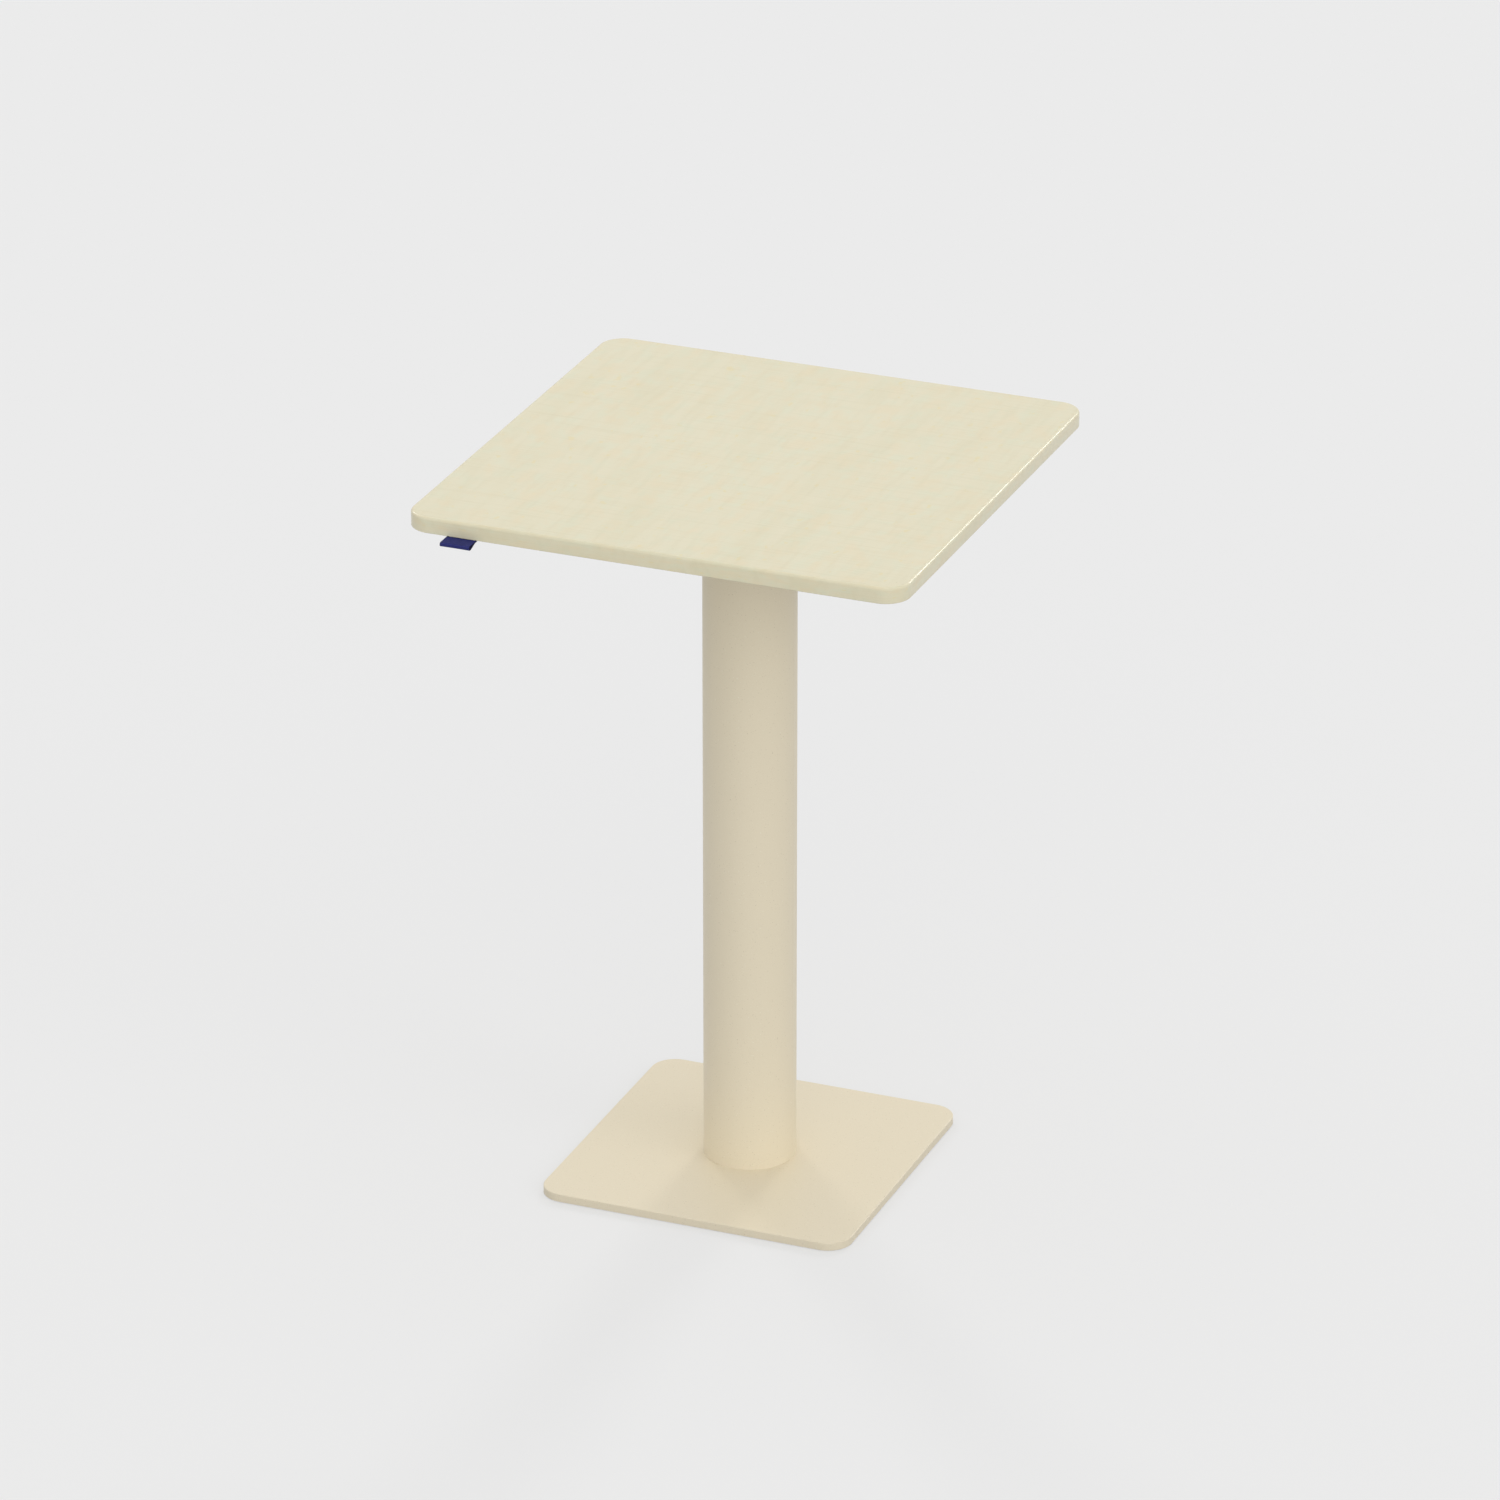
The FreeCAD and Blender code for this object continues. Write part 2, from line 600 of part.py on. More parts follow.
def make_gas_spring_rod():
    """Gas spring's rod with piston, ring and nuts, and the release pin that runs down it."""
    turn(
        new_body("piston_rod", z="rod_foot"),
        [
            ("rod_bore / 2", "0"),
            ("spigot_diameter / 2", "0"),
            ("spigot_diameter / 2", "piston_stack"),
            ("rod_diameter / 2", "piston_stack"),
            ("rod_diameter / 2", "rod_length"),
            ("rod_bore / 2", "rod_length"),
        ],
    )

    bore = "spigot_diameter / 2 + fit_clearance"
    turn(
        new_body("piston", z="rod_foot + piston_nut_height"),
        [
            (bore, "0"),
            ("piston_outside / 2", "0"),
            ("piston_outside / 2", "ring_groove_foot"),
            ("ring_inside / 2 - fit_clearance", "ring_groove_foot"),
            ("ring_inside / 2 - fit_clearance", "ring_groove_head"),
            ("piston_outside / 2", "ring_groove_head"),
            ("piston_outside / 2", "piston_height"),
            (bore, "piston_height"),
        ],
    )
    ring_level = "rod_foot + piston_nut_height + ring_groove_foot + fit_clearance"
    tube(new_body("piston_ring", z=ring_level), "ring_outside", "ring_inside", "ring_height")

    spigot_hole = "spigot_diameter + 2 * fit_clearance"
    nut = hexagon_nut("piston_nut", "piston_nut_flats", "piston_nut_height", spigot_hole, "rod_foot")
    sub_parts.append(nut)

    rod_hole = "rod_diameter + 2 * fit_clearance"
    nuts = doc.addObject("Part::Compound", "rod_nuts")
    nuts.Links = [
        hexagon_nut("upper_nut", "nut_flats", "nut_height", rod_hole, "head_top"),
        hexagon_nut("lower_nut", "nut_flats", "nut_height", rod_hole, "lower_nut_foot"),
    ]
    sub_parts.append(nuts)

    pin_length = "pin_top - rod_foot - pin_tail"
    turn(
        new_body("release_pin", z="rod_foot + pin_tail"),
        [
            ("0", "0"),
            ("pin_diameter / 2", "0"),
            ("pin_diameter / 2", f"{pin_length} - pin_chamfer"),
            ("pin_diameter / 2 - pin_chamfer", pin_length),
            ("0", pin_length),
        ],
    )


def make_rising_tube():
    """Rising tube with its slot for the lever, guide bush, head plate and mounting plate."""
    riser = new_body("inner_tube", z="inner_foot")
    tube(riser, "inner_tube_diameter", "inner_bore", "mount_foot - inner_foot")
    pegs = new_sketch(riser, "XZ_Plane")
    circle(pegs, "peg_diameter + 2 * fit_clearance", "0", "peg_height")
    cut(riser, pegs, "inner_tube_diameter + 2 * cut_overrun", SideType="Symmetric")
    slot = new_sketch(riser, "YZ_Plane")
    middle = "(pivot_level - inner_foot)"
    rectangle(
        slot,
        "-lever_slot_width / 2",
        "lever_slot_width / 2",
        f"{middle} - lever_slot_height / 2",
        f"{middle} + lever_slot_height / 2",
    )
    opening = cut(riser, slot, "inner_tube_diameter / 2 + cut_overrun", Reversed=True)
    low, high = size("mount_foot - inner_foot - head_space"), size("mount_foot - inner_foot")
    radial = points_along(1, 0, 0)
    round_edges(
        riser,
        opening,
        "lever_slot_radius",
        lambda edge: radial(edge) and low < edge.BoundBox.ZMin < high,
    )

    bush = new_body("lower_guide_bush", z="bush_foot")
    sleeve_bore = "inner_tube_diameter / 2 + fit_clearance"
    sleeve_outside = "outer_bore / 2 - slide_clearance"
    turn(
        bush,
        [
            ("inner_bore / 2", "0"),
            (sleeve_outside, "0"),
            (sleeve_outside, "bush_height"),
            (sleeve_bore, "bush_height"),
            (sleeve_bore, "bush_lip"),
            ("inner_bore / 2", "bush_lip"),
        ],
    )
    peg = new_sketch(bush, "XZ_Plane", "inner_bore / 2")
    circle(peg, "peg_diameter", "0", "bush_lip + peg_height")
    root = "(outer_bore - inner_tube_diameter) / 4"
    around(bush, pad(bush, peg, f"inner_tube_wall + fit_clearance + {root}"), PEGS_IN_BUSH)
    groove = new_sketch(bush, "XY_Plane")
    half_groove = "(rail_width / 2 + slide_clearance)"
    rectangle(groove, sleeve_bore, f"{sleeve_outside} + cut_overrun", f"-{half_groove}", half_groove)
    cut(bush, groove, "bush_height", Reversed=True)

    head = new_body("head_plate", z="head_foot")
    sketch = new_sketch(head, "XY_Plane")
    circle(sketch, "inner_bore - 2 * fit_clearance")
    circle(sketch, "rod_diameter + 2 * fit_clearance")
    for across, along in (("0", "vent_radius"), ("0", "-vent_radius"), ("-vent_radius", "0")):
        circle(sketch, "vent_diameter", across, along)
    pad(head, sketch, "head_plate_thickness")

    plate = new_body("mounting_plate", z="mount_foot")
    square_block(plate, "mount_plate_side", "mount_plate_thickness", "mount_plate_radius")
    drill(plate, [("0", "0")], "access_bore")
    drill(plate, square_of("plate_screw_offset"), "plate_screw_diameter + 2 * plate_hole_room")


def make_release_lever():
    """Lever that presses the release pin, with its bracket, pivot and grip."""
    bracket = new_body("lever_bracket", z="head_top")
    profile = new_sketch(bracket, "YZ_Plane", "bracket_start")
    outline(
        profile,
        [
            ("-cheek_outside", "0"),
            ("cheek_outside", "0"),
            ("cheek_outside", "cheek_top"),
            ("cheek_inside", "cheek_top"),
            ("cheek_inside", "bracket_base"),
            ("-cheek_inside", "bracket_base"),
            ("-cheek_inside", "cheek_top"),
            ("-cheek_outside", "cheek_top"),
        ],
    )
    channel = pad(bracket, profile, "bracket_length")
    crosswise, at_top = points_along(0, 1, 0), lies_at("cheek_top")
    round_edges(bracket, channel, "cheek_radius", lambda edge: crosswise(edge) and at_top(edge))
    eye = new_sketch(bracket, "XZ_Plane")
    circle(eye, "pivot_pin_diameter + 2 * fit_clearance", "pivot_reach", "pivot_rise")
    cut(bracket, eye, "2 * cheek_outside + 2 * cut_overrun", SideType="Symmetric")

    pin_end = "clip_head + pivot_tail"
    turn(
        new_body("pivot_pin", x="pivot_reach", z="pivot_level"),
        [
            ("0", "-cheek_outside - pivot_head"),
            ("pivot_head_diameter / 2", "-cheek_outside - pivot_head"),
            ("pivot_head_diameter / 2", "-cheek_outside"),
            ("pivot_pin_diameter / 2", "-cheek_outside"),
            ("pivot_pin_diameter / 2", "clip_foot"),
            ("clip_groove / 2", "clip_foot"),
            ("clip_groove / 2", "clip_head"),
            ("pivot_pin_diameter / 2", "clip_head"),
            ("pivot_pin_diameter / 2", pin_end),
            ("0", pin_end),
        ],
        role="XY_Plane",
    )

    clip = new_body("pivot_clip", x="pivot_reach", y="(clip_foot + clip_head) / 2", z="pivot_level")
    inside = "clip_groove + 2 * fit_clearance"
    ring = new_sketch(clip, "XZ_Plane")
    circle(ring, f"{inside} + 2 * clip_width")
    circle(ring, inside)
    pad(clip, ring, "clip_thickness", SideType="Symmetric")
    mouth = new_sketch(clip, "XZ_Plane")
    rectangle(mouth, "-clip_groove / 2", "clip_groove / 2", "0", "clip_groove / 2 + clip_width + cut_overrun")
    cut(clip, mouth, "clip_thickness + 2 * cut_overrun", SideType="Symmetric")

    lever = new_body("release_lever", z="pivot_level")
    beam = new_sketch(lever, "XZ_Plane")
    rectangle(beam, "0", "pivot_reach", "-nose_radius", "nose_radius")
    arm = new_sketch(lever, "XZ_Plane")
    half_arm = "lever_arm_height / 2"
    outline(
        arm,
        [
            ("pivot_reach", f"-{half_arm}"),
            ("lever_bend", f"-lever_drop - {half_arm}"),
            ("lever_reach", f"-lever_drop - {half_arm}"),
            ("lever_reach", f"-lever_drop + {half_arm}"),
            ("lever_bend", f"-lever_drop + {half_arm}"),
            ("pivot_reach", half_arm),
        ],
    )
    nose = new_sketch(lever, "XZ_Plane")
    circle(nose, "2 * nose_radius")
    hub = new_sketch(lever, "XZ_Plane")
    circle(hub, "2 * hub_radius", "pivot_reach", "0")
    for sketch in (beam, nose, hub, arm):
        pad(lever, sketch, "lever_thickness", SideType="Symmetric")
    bore = new_sketch(lever, "XZ_Plane")
    circle(bore, "pivot_pin_diameter + 2 * pivot_clearance", "pivot_reach", "0")
    cut(lever, bore, "lever_thickness + 2 * cut_overrun", SideType="Symmetric")

    grip = new_body("lever_grip", x="grip_start", z="pivot_level - lever_drop")
    sketch = new_sketch(grip, "XY_Plane")
    rectangle(sketch, "0", "grip_length", "-grip_width / 2", "grip_width / 2")
    block = pad(grip, sketch, "grip_height", SideType="Symmetric")
    block = round_edges(grip, block, "grip_corner_radius", points_along(0, 0, 1))
    low, high = lies_at("-grip_height / 2"), lies_at("grip_height / 2")
    break_edges(grip, block, "grip_edge_break", lambda edge: low(edge) or high(edge))
    socket = new_sketch(grip, "YZ_Plane")
    half_width = "(lever_thickness / 2 + fit_clearance)"
    half_height = "(lever_arm_height / 2 + fit_clearance)"
    rectangle(socket, f"-{half_width}", half_width, f"-{half_height}", half_height)
    cut(grip, socket, "grip_length - grip_overhang + fit_clearance", Reversed=True)
    saddle = new_sketch(grip, "XZ_Plane")
    circle(saddle, "2 * scoop_radius", "grip_length / 2", "scoop_depth - scoop_radius - grip_height / 2")
    cut(grip, saddle, "grip_width + 2 * cut_overrun", SideType="Symmetric")


def make_board():
    """Board with its threaded inserts, the screws that hold it and the ribbon tab at its front."""
    board = new_body("table_top", z="board_foot")
    block = square_block(board, "top_side", "top_thickness", "top_corner_radius")
    block = round_edges(board, block, "top_edge_radius", lies_at("top_thickness"))
    break_edges(board, block, "top_lower_edge_break", lies_at("0"))
    hole_depth = "insert_length + insert_room"
    drill(board, square_of("plate_screw_offset"), "insert_diameter + 2 * fit_clearance", hole_depth)

    inserts = new_body("threaded_inserts", z="board_foot")
    thread = "plate_screw_diameter / 2 + fit_clearance"
    insert = turn(
        inserts,
        [
            (thread, "0"),
            ("insert_diameter / 2", "0"),
            ("insert_diameter / 2", "insert_length"),
            (thread, "insert_length"),
        ],
        axis="plate_screw_offset",
        offset="plate_screw_offset",
    )
    around(inserts, insert, SCREWS_IN_SQUARE)

    screws = new_body("plate_screws", z="mount_foot")
    screw = turn(
        screws,
        [
            ("0", "-plate_screw_head"),
            ("plate_screw_head_diameter / 2 - plate_screw_head / 2", "-plate_screw_head"),
            ("plate_screw_head_diameter / 2", "-plate_screw_head / 2"),
            ("plate_screw_head_diameter / 2", "0"),
            ("plate_screw_diameter / 2", "0"),
            ("plate_screw_diameter / 2", "plate_screw_length"),
            ("0", "plate_screw_length"),
        ],
        axis="plate_screw_offset",
        offset="plate_screw_offset",
    )
    around(screws, screw, SCREWS_IN_SQUARE)

    tab = new_body("label_tab", z="board_foot - fit_clearance")
    ribbon = new_sketch(tab, "YZ_Plane", "label_inset - top_side / 2")
    outline(
        ribbon,
        [
            ("front_edge + label_tuck", "0"),
            ("fold_centre", "0"),
            ("fold_centre", "-label_loop", "front_edge - label_reach"),
            ("front_edge", "-2 * label_cloth"),
            ("front_edge + label_tuck", "-2 * label_cloth"),
        ],
    )
    outline(
        ribbon,
        [
            ("front_edge", "-label_cloth"),
            ("fold_centre", "-label_cloth"),
            ("fold_centre", "label_cloth - label_loop", "front_edge - label_reach + label_cloth"),
        ],
    )
    pad(tab, ribbon, "label_width")


def write_parts():
    """Checks every object of the document, then writes each sub-part to a file of its own."""
    doc.recompute()
    failed = [item.Label for item in doc.Objects if {"Invalid", "Error"} & set(item.State)]
    failed += [item.Label for item in sub_parts if item.Shape.isNull() or not item.Shape.isValid()]
    if failed:
        raise ValueError(f"these objects failed: {failed}")
    os.makedirs("parts", exist_ok=True)
    for item in sub_parts:
        item.Shape.exportStep(f"parts/{item.Label}.step")
        print(f"{item.Label}: {len(item.Shape.Solids)} solids, {item.Shape.Volume:.0f} mm3")


make_foot()
make_standing_tube()
make_gas_spring_cylinder()
make_gas_spring_rod()
make_rising_tube()
make_release_lever()
make_board()
write_parts()
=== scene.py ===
"""Looks of a telescoping pedestal table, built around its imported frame.

Lengths are metres unless a name ends in _mm. +Z is up, and the table's front edge faces -Y.
"""
import json
import logging
import math
from dataclasses import dataclass
from enum import Enum
from typing import Sequence

import bpy
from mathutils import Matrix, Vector


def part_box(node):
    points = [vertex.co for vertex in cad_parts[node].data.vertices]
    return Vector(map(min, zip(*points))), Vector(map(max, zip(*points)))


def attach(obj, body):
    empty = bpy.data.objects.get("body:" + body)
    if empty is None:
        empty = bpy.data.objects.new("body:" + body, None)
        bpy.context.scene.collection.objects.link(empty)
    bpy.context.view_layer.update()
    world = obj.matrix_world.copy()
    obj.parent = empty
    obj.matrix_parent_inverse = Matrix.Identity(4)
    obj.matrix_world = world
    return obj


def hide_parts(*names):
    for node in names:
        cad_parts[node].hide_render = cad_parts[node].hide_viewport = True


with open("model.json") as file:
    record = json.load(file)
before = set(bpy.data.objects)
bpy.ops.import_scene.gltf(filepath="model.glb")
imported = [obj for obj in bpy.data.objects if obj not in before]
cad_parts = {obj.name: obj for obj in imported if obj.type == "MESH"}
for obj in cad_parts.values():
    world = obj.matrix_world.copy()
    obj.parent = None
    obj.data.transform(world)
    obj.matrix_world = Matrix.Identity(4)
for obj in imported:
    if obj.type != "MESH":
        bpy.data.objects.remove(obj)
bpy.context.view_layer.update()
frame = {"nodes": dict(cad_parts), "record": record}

LOG = logging.getLogger("pedestal_table")
MM = 0.001
GRAIN_UV = "grain"  # UV map in metres along the grain or thread and across it
SHARP_ANGLE = math.radians(35)  # edges that turn by more than this stay crisp
TINY = 0.001 * MM  # lengths below this count as none
QUARTER_TURN = math.pi / 2
PATTERN_STEP = 7.3  # moves each layer of a pattern away from the others
NOISE_DETAIL = 2.0  # octaves of finer noise in each layer
TURNED_SPAN = 400.0  # millimetres across, so that only lines along the axis are left of a pattern
BAND_SCALE = math.pi / 10  # scale at which a wave texture has one band in each metre

# Sockets of a colour mix and of a random number, which share their names with those of other kinds.
MIX_FACTOR, MIX_FROM, MIX_TO, MIX_RESULT = 0, 6, 7, 2
RANDOM_LEAST, RANDOM_MOST, RANDOM_RESULT = 2, 3, 1

# Kind of geometry socket that takes each kind of value.
SOCKET_KINDS = {
    int: "NodeSocketInt",
    float: "NodeSocketFloat",
    tuple: "NodeSocketVector",
    bpy.types.Object: "NodeSocketObject",
    bpy.types.Material: "NodeSocketMaterial",
}

Colour = tuple[float, float, float, float]
Pair = tuple[float, float]
Size = tuple[float, float, float]
Ring = Sequence[Vector]


class Body(str, Enum):
    """Bodies of the mechanism that the pieces ride on."""

    STAND = "stand"
    RISER = "riser"
    LEVER = "lever"


class Follows(Enum):
    """What a finish's pattern follows."""

    PLACE = "Object"  # the place in the piece, as in a coat that is sprayed on
    SURFACE = GRAIN_UV  # the piece's own surface, as grain and weave do


class Gives(Enum):
    """What a lamp gives the table."""

    LIGHT = "light on every surface, without a glint"
    GLINT = "a glint on glossy edges alone"


def linear(hex_colour: str) -> Colour:
    """Turns an sRGB colour into the linear one that shaders and lamps take.

    Args:
        hex_colour: Colour such as "#EBEBEB".

    Returns:
        Red, green, blue and full opacity.
    """
    levels = [int(hex_colour[start : start + 2], 16) / 255 for start in (1, 3, 5)]
    red, green, blue = (
        level / 12.92 if level <= 0.04045 else ((level + 0.055) / 1.055) ** 2.4 for level in levels
    )
    return red, green, blue, 1.0


def add_node(
    tree: bpy.types.NodeTree,
    kind: str,
    inputs: dict[str | int, object] | None = None,
    **settings: object,
) -> bpy.types.Node:
    """Adds one node with its settings, its values and the links into it.

    Args:
        tree: Shader or geometry tree that gets the node.
        kind: Blender's name for this kind of node.
        inputs: A value for each socket, or another node's output to link to it.
        settings: Properties of the node itself.

    Returns:
        The new node.
    """
    node = tree.nodes.new(kind)
    for name, value in settings.items():
        setattr(node, name, value)
    for name, value in (inputs or {}).items():
        if isinstance(value, bpy.types.NodeSocket):
            tree.links.new(value, node.inputs[name])
        else:
            node.inputs[name].default_value = value
    return node


def even(size_mm: float) -> Size:
    """Sizes patches that are as long as they are wide and high."""
    return size_mm, size_mm, size_mm


def turned(pitch_mm: float) -> Size:
    """Sizes lines round the upright axis, as a lathe leaves them."""
    return TURNED_SPAN, TURNED_SPAN, pitch_mm


@dataclass(frozen=True)
class Tint:
    """One layer of colour on a finish.

    Attributes:
        colour: Colour where the layer is full.
        size_mm: Size of its patches along the three axes of the pattern.
        starts: Level of the noise, from 0 to 1, at which the layer starts to show.
        full: Level at which it is full.
        amount: Share of the layer's colour where it is full.
    """

    colour: str
    size_mm: Size
    starts: float
    full: float
    amount: float


@dataclass(frozen=True)
class Relief:
    """Fine unevenness of a surface, too shallow to be modelled.

    Attributes:
        size_mm: Size of its bumps along the three axes of the pattern.
        depth_mm: Depth from crest to valley.
    """

    size_mm: Size
    depth_mm: float


@dataclass(frozen=True)
class Finish:
    """Surface of one real material, drawn by nodes.

    Attributes:
        name: Name of the material.
        slot: The record's slot that it stands for.
        colour: Main colour.
        tints: Layers of colour over it, the broadest first.
        relief: Fine unevenness.
        roughness: Mean roughness.
        roughness_swing: Roughness that the relief adds from valley to crest.
        metallic: 1 for a bare metal.
        ior: Index of refraction, which a bare metal leaves at its default.
        follows: What the pattern follows.
    """

    name: str
    slot: str
    colour: str
    tints: tuple[Tint, ...]
    relief: Relief
    roughness: float
    roughness_swing: float = 0.0
    metallic: float = 0.0
    ior: float = 1.5
    follows: Follows = Follows.PLACE

    def material(self) -> bpy.types.Material:
        """Makes the material when it is first asked for.

        Returns:
            The material.
        """
        made = bpy.data.materials.get(self.name)
        if made is None:
            made = bpy.data.materials.new(self.name)
            made.use_nodes = True
            made.node_tree.nodes.clear()
            self.draw(made.node_tree)
        return made

    def place(self, tree: bpy.types.NodeTree) -> bpy.types.NodeSocket:
        """Finds the coordinates that the pattern follows.

        Args:
            tree: The material's tree.

        Returns:
            The coordinates, in metres.
        """
        if self.follows is Follows.SURFACE:
            return add_node(tree, "ShaderNodeUVMap", uv_map=GRAIN_UV).outputs["UV"]
        return add_node(tree, "ShaderNodeTexCoord").outputs["Object"]

    def noise(self, tree: bpy.types.NodeTree, size_mm: Size, layer: int) -> bpy.types.NodeSocket:
        """Draws noise with patches of a real size.

        Args:
            tree: The material's tree.
            size_mm: Patch size along the three axes.
            layer: Number of the layer, which keeps it apart from the others.

        Returns:
            The noise's level, from 0 to 1 about one half.
        """
        offset = PATTERN_STEP * (layer + 1)
        mapping = add_node(
            tree, "ShaderNodeMapping",
            {
                "Vector": self.place(tree),
                "Location": (offset, offset / 2, offset / 3),
                "Scale": tuple(1 / (size * MM) for size in size_mm),
            },
        )
        drawn = add_node(
            tree, "ShaderNodeTexNoise",
            {"Vector": mapping.outputs["Vector"], "Scale": 1.0, "Detail": NOISE_DETAIL},
        )
        return drawn.outputs["Fac"]

    def colouring(self, tree: bpy.types.NodeTree) -> bpy.types.NodeSocket:
        """Lays the tints over the main colour.

        Args:
            tree: The material's tree.

        Returns:
            The colour that shows.
        """
        shown: Colour | bpy.types.NodeSocket = linear(self.colour)
        for layer, tint in enumerate(self.tints):
            share = add_node(
                tree, "ShaderNodeMapRange",
                {
                    "Value": self.noise(tree, tint.size_mm, layer),
                    "From Min": tint.starts,
                    "From Max": tint.full,
                    "To Max": tint.amount,
                },
                interpolation_type="SMOOTHSTEP",
            )
            mixed = add_node(
                tree, "ShaderNodeMix",
                {MIX_FACTOR: share.outputs["Result"], MIX_FROM: shown, MIX_TO: linear(tint.colour)},
                data_type="RGBA",
            )
            shown = mixed.outputs[MIX_RESULT]
        return shown

    def height(self, tree: bpy.types.NodeTree) -> bpy.types.NodeSocket:
        """Gives the height of the relief, from 0 to 1."""
        return self.noise(tree, self.relief.size_mm, len(self.tints))

    def draw(self, tree: bpy.types.NodeTree) -> None:
        """Draws the whole material.

        Args:
            tree: The material's tree.
        """
        height = self.height(tree)
        bump = add_node(
            tree, "ShaderNodeBump",
            {"Height": height, "Strength": 1.0, "Distance": self.relief.depth_mm * MM},
        )
        roughness: float | bpy.types.NodeSocket = self.roughness
        if self.roughness_swing:
            roughness = add_node(
                tree, "ShaderNodeMapRange",
                {
                    "Value": height,
                    "To Min": self.roughness - self.roughness_swing / 2,
                    "To Max": self.roughness + self.roughness_swing / 2,
                },
            ).outputs["Result"]
        shader = add_node(
            tree, "ShaderNodeBsdfPrincipled",
            {
                "Base Color": self.colouring(tree),
                "Roughness": roughness,
                "Metallic": self.metallic,
                "IOR": self.ior,
                "Normal": bump.outputs["Normal"],
            },
        )
        add_node(tree, "ShaderNodeOutputMaterial", {"Surface": shader.outputs["BSDF"]})


@dataclass(frozen=True)
class Weave(Finish):
    """Woven ribbon, whose threads pass over and under each other.

    Attributes:
        thread_mm: Spacing of the threads both ways.
        valley: Colour of the shade between threads.
    """

    thread_mm: float = 1.0
    valley: str = "#000000"

    def threads(self, tree: bpy.types.NodeTree, axis: str) -> bpy.types.NodeSocket:
        """Draws one set of threads as rounded bands.

        Args:
            tree: The material's tree.
            axis: Axis along which the threads follow one another.

        Returns:
            The threads' height, from 0 to 1.
        """
        band = add_node(
            tree, "ShaderNodeTexWave",
            {
                "Vector": self.place(tree),
                "Scale": BAND_SCALE / (self.thread_mm * MM),
                "Distortion": 0.0,
                "Detail": 0.0,
            },
            wave_type="BANDS", bands_direction=axis, wave_profile="SIN",
        )
        return band.outputs["Fac"]

    def height(self, tree: bpy.types.NodeTree) -> bpy.types.NodeSocket:
        """Draws the height of whichever thread lies on top.

        Args:
            tree: The material's tree.

        Returns:
            The height, from 0 to 1.
        """
        over = add_node(
            tree, "ShaderNodeTexChecker",
            {"Vector": self.place(tree), "Scale": 1 / (self.thread_mm * MM)},
        )
        return add_node(
            tree, "ShaderNodeMix",
            {
                MIX_FACTOR: over.outputs["Fac"],
                "A": self.threads(tree, "X"),
                "B": self.threads(tree, "Y"),
            },
            data_type="FLOAT",
        ).outputs["Result"]

    def colouring(self, tree: bpy.types.NodeTree) -> bpy.types.NodeSocket:
        """Darkens the shade between the threads under the usual tints.

        Args:
            tree: The material's tree.

        Returns:
            The colour that shows.
        """
        tinted = super().colouring(tree)
        return add_node(
            tree, "ShaderNodeMix",
            {MIX_FACTOR: self.height(tree), MIX_FROM: linear(self.valley), MIX_TO: tinted},
            data_type="RGBA",
        ).outputs[MIX_RESULT]


# In all these finishes, tool lines, grit and moulded grain finer than about half a millimetre are drawn
# coarser than they are, so that they show.

# Birch veneer, sliced, sanded and lacquered satin. It is pale and warm. A soft figure runs across the
# board with faint green and rosy clouds along it, under fine grain lines and a few dark flecks. The
# grain lines are drawn 2 mm wide, about twice the real width.
VENEER = Finish(
    name="satin_birch_veneer",
    slot="board_veneer",
    colour="#E4DDC0",
    tints=(
        Tint("#DBD3B0", (24, 190, 1), 0.40, 0.75, 0.30),
        Tint("#DAE1C8", (16, 25, 1), 0.45, 0.72, 0.29),
        Tint("#E9D6B0", (18, 29, 1), 0.45, 0.72, 0.31),
        Tint("#E7D69B", (9, 14, 1), 0.66, 0.74, 0.40),
        Tint("#D5CCA9", (7, 48, 1), 0.45, 0.80, 0.20),
        Tint("#D3CAA5", (70, 2.0, 1), 0.45, 0.80, 0.24),
        Tint("#B3A377", (3.2, 3.2, 1), 0.76, 0.82, 0.50),
    ),
    relief=Relief((70, 2.0, 1), 0.001),
    roughness=0.18,
    roughness_swing=0.04,
    follows=Follows.SURFACE,
)

# Polyester powder coat with a fine texture, sprayed and baked on steel. It is even and matt, with sparse
# tiny specks, dark and light, drawn over 1 mm wide.
POWDER_COAT = Finish(
    name="beige_fine_texture_powder_coat",
    slot="beige_powder_coat",
    colour="#E7DCC3",
    tints=(
        Tint("#AA9C7D", even(1.2), 0.66, 0.76, 0.50),
        Tint("#F6F3E1", even(1.3), 0.66, 0.76, 0.60),
    ),
    relief=Relief(even(1.4), 0.04),
    roughness=0.44,
    roughness_swing=0.10,
)

# Zinc-plated steel, pickled and passivated. It is a bright cool grey with faint straw and blue clouds.
ZINC_PLATE = Finish(
    name="bright_zinc_plated_steel",
    slot="zinc_plated_steel",
    colour="#C3C4C2",
    tints=(
        Tint("#C9C2AC", even(22), 0.48, 0.70, 0.45),
        Tint("#B4BCC6", even(16), 0.50, 0.72, 0.45),
        Tint("#9B9D9D", even(1.2), 0.58, 0.76, 0.35),
    ),
    relief=Relief(even(1.0), 0.01),
    roughness=0.34,
    roughness_swing=0.16,
    metallic=1.0,
)

# Weld left as laid under the coat: the same paint, a little duller, with darker clouds about 2 mm across
# at random, painted shade for the ripples' valleys.
COATED_WELD = Finish(
    name="coated_weld_bead",
    slot="beige_powder_coat",
    colour="#E6DBC2",
    tints=(Tint("#D4C7A8", even(2.0), 0.50, 0.75, 0.40),),
    relief=Relief(even(1.4), 0.04),
    roughness=0.50,
    roughness_swing=0.10,
)

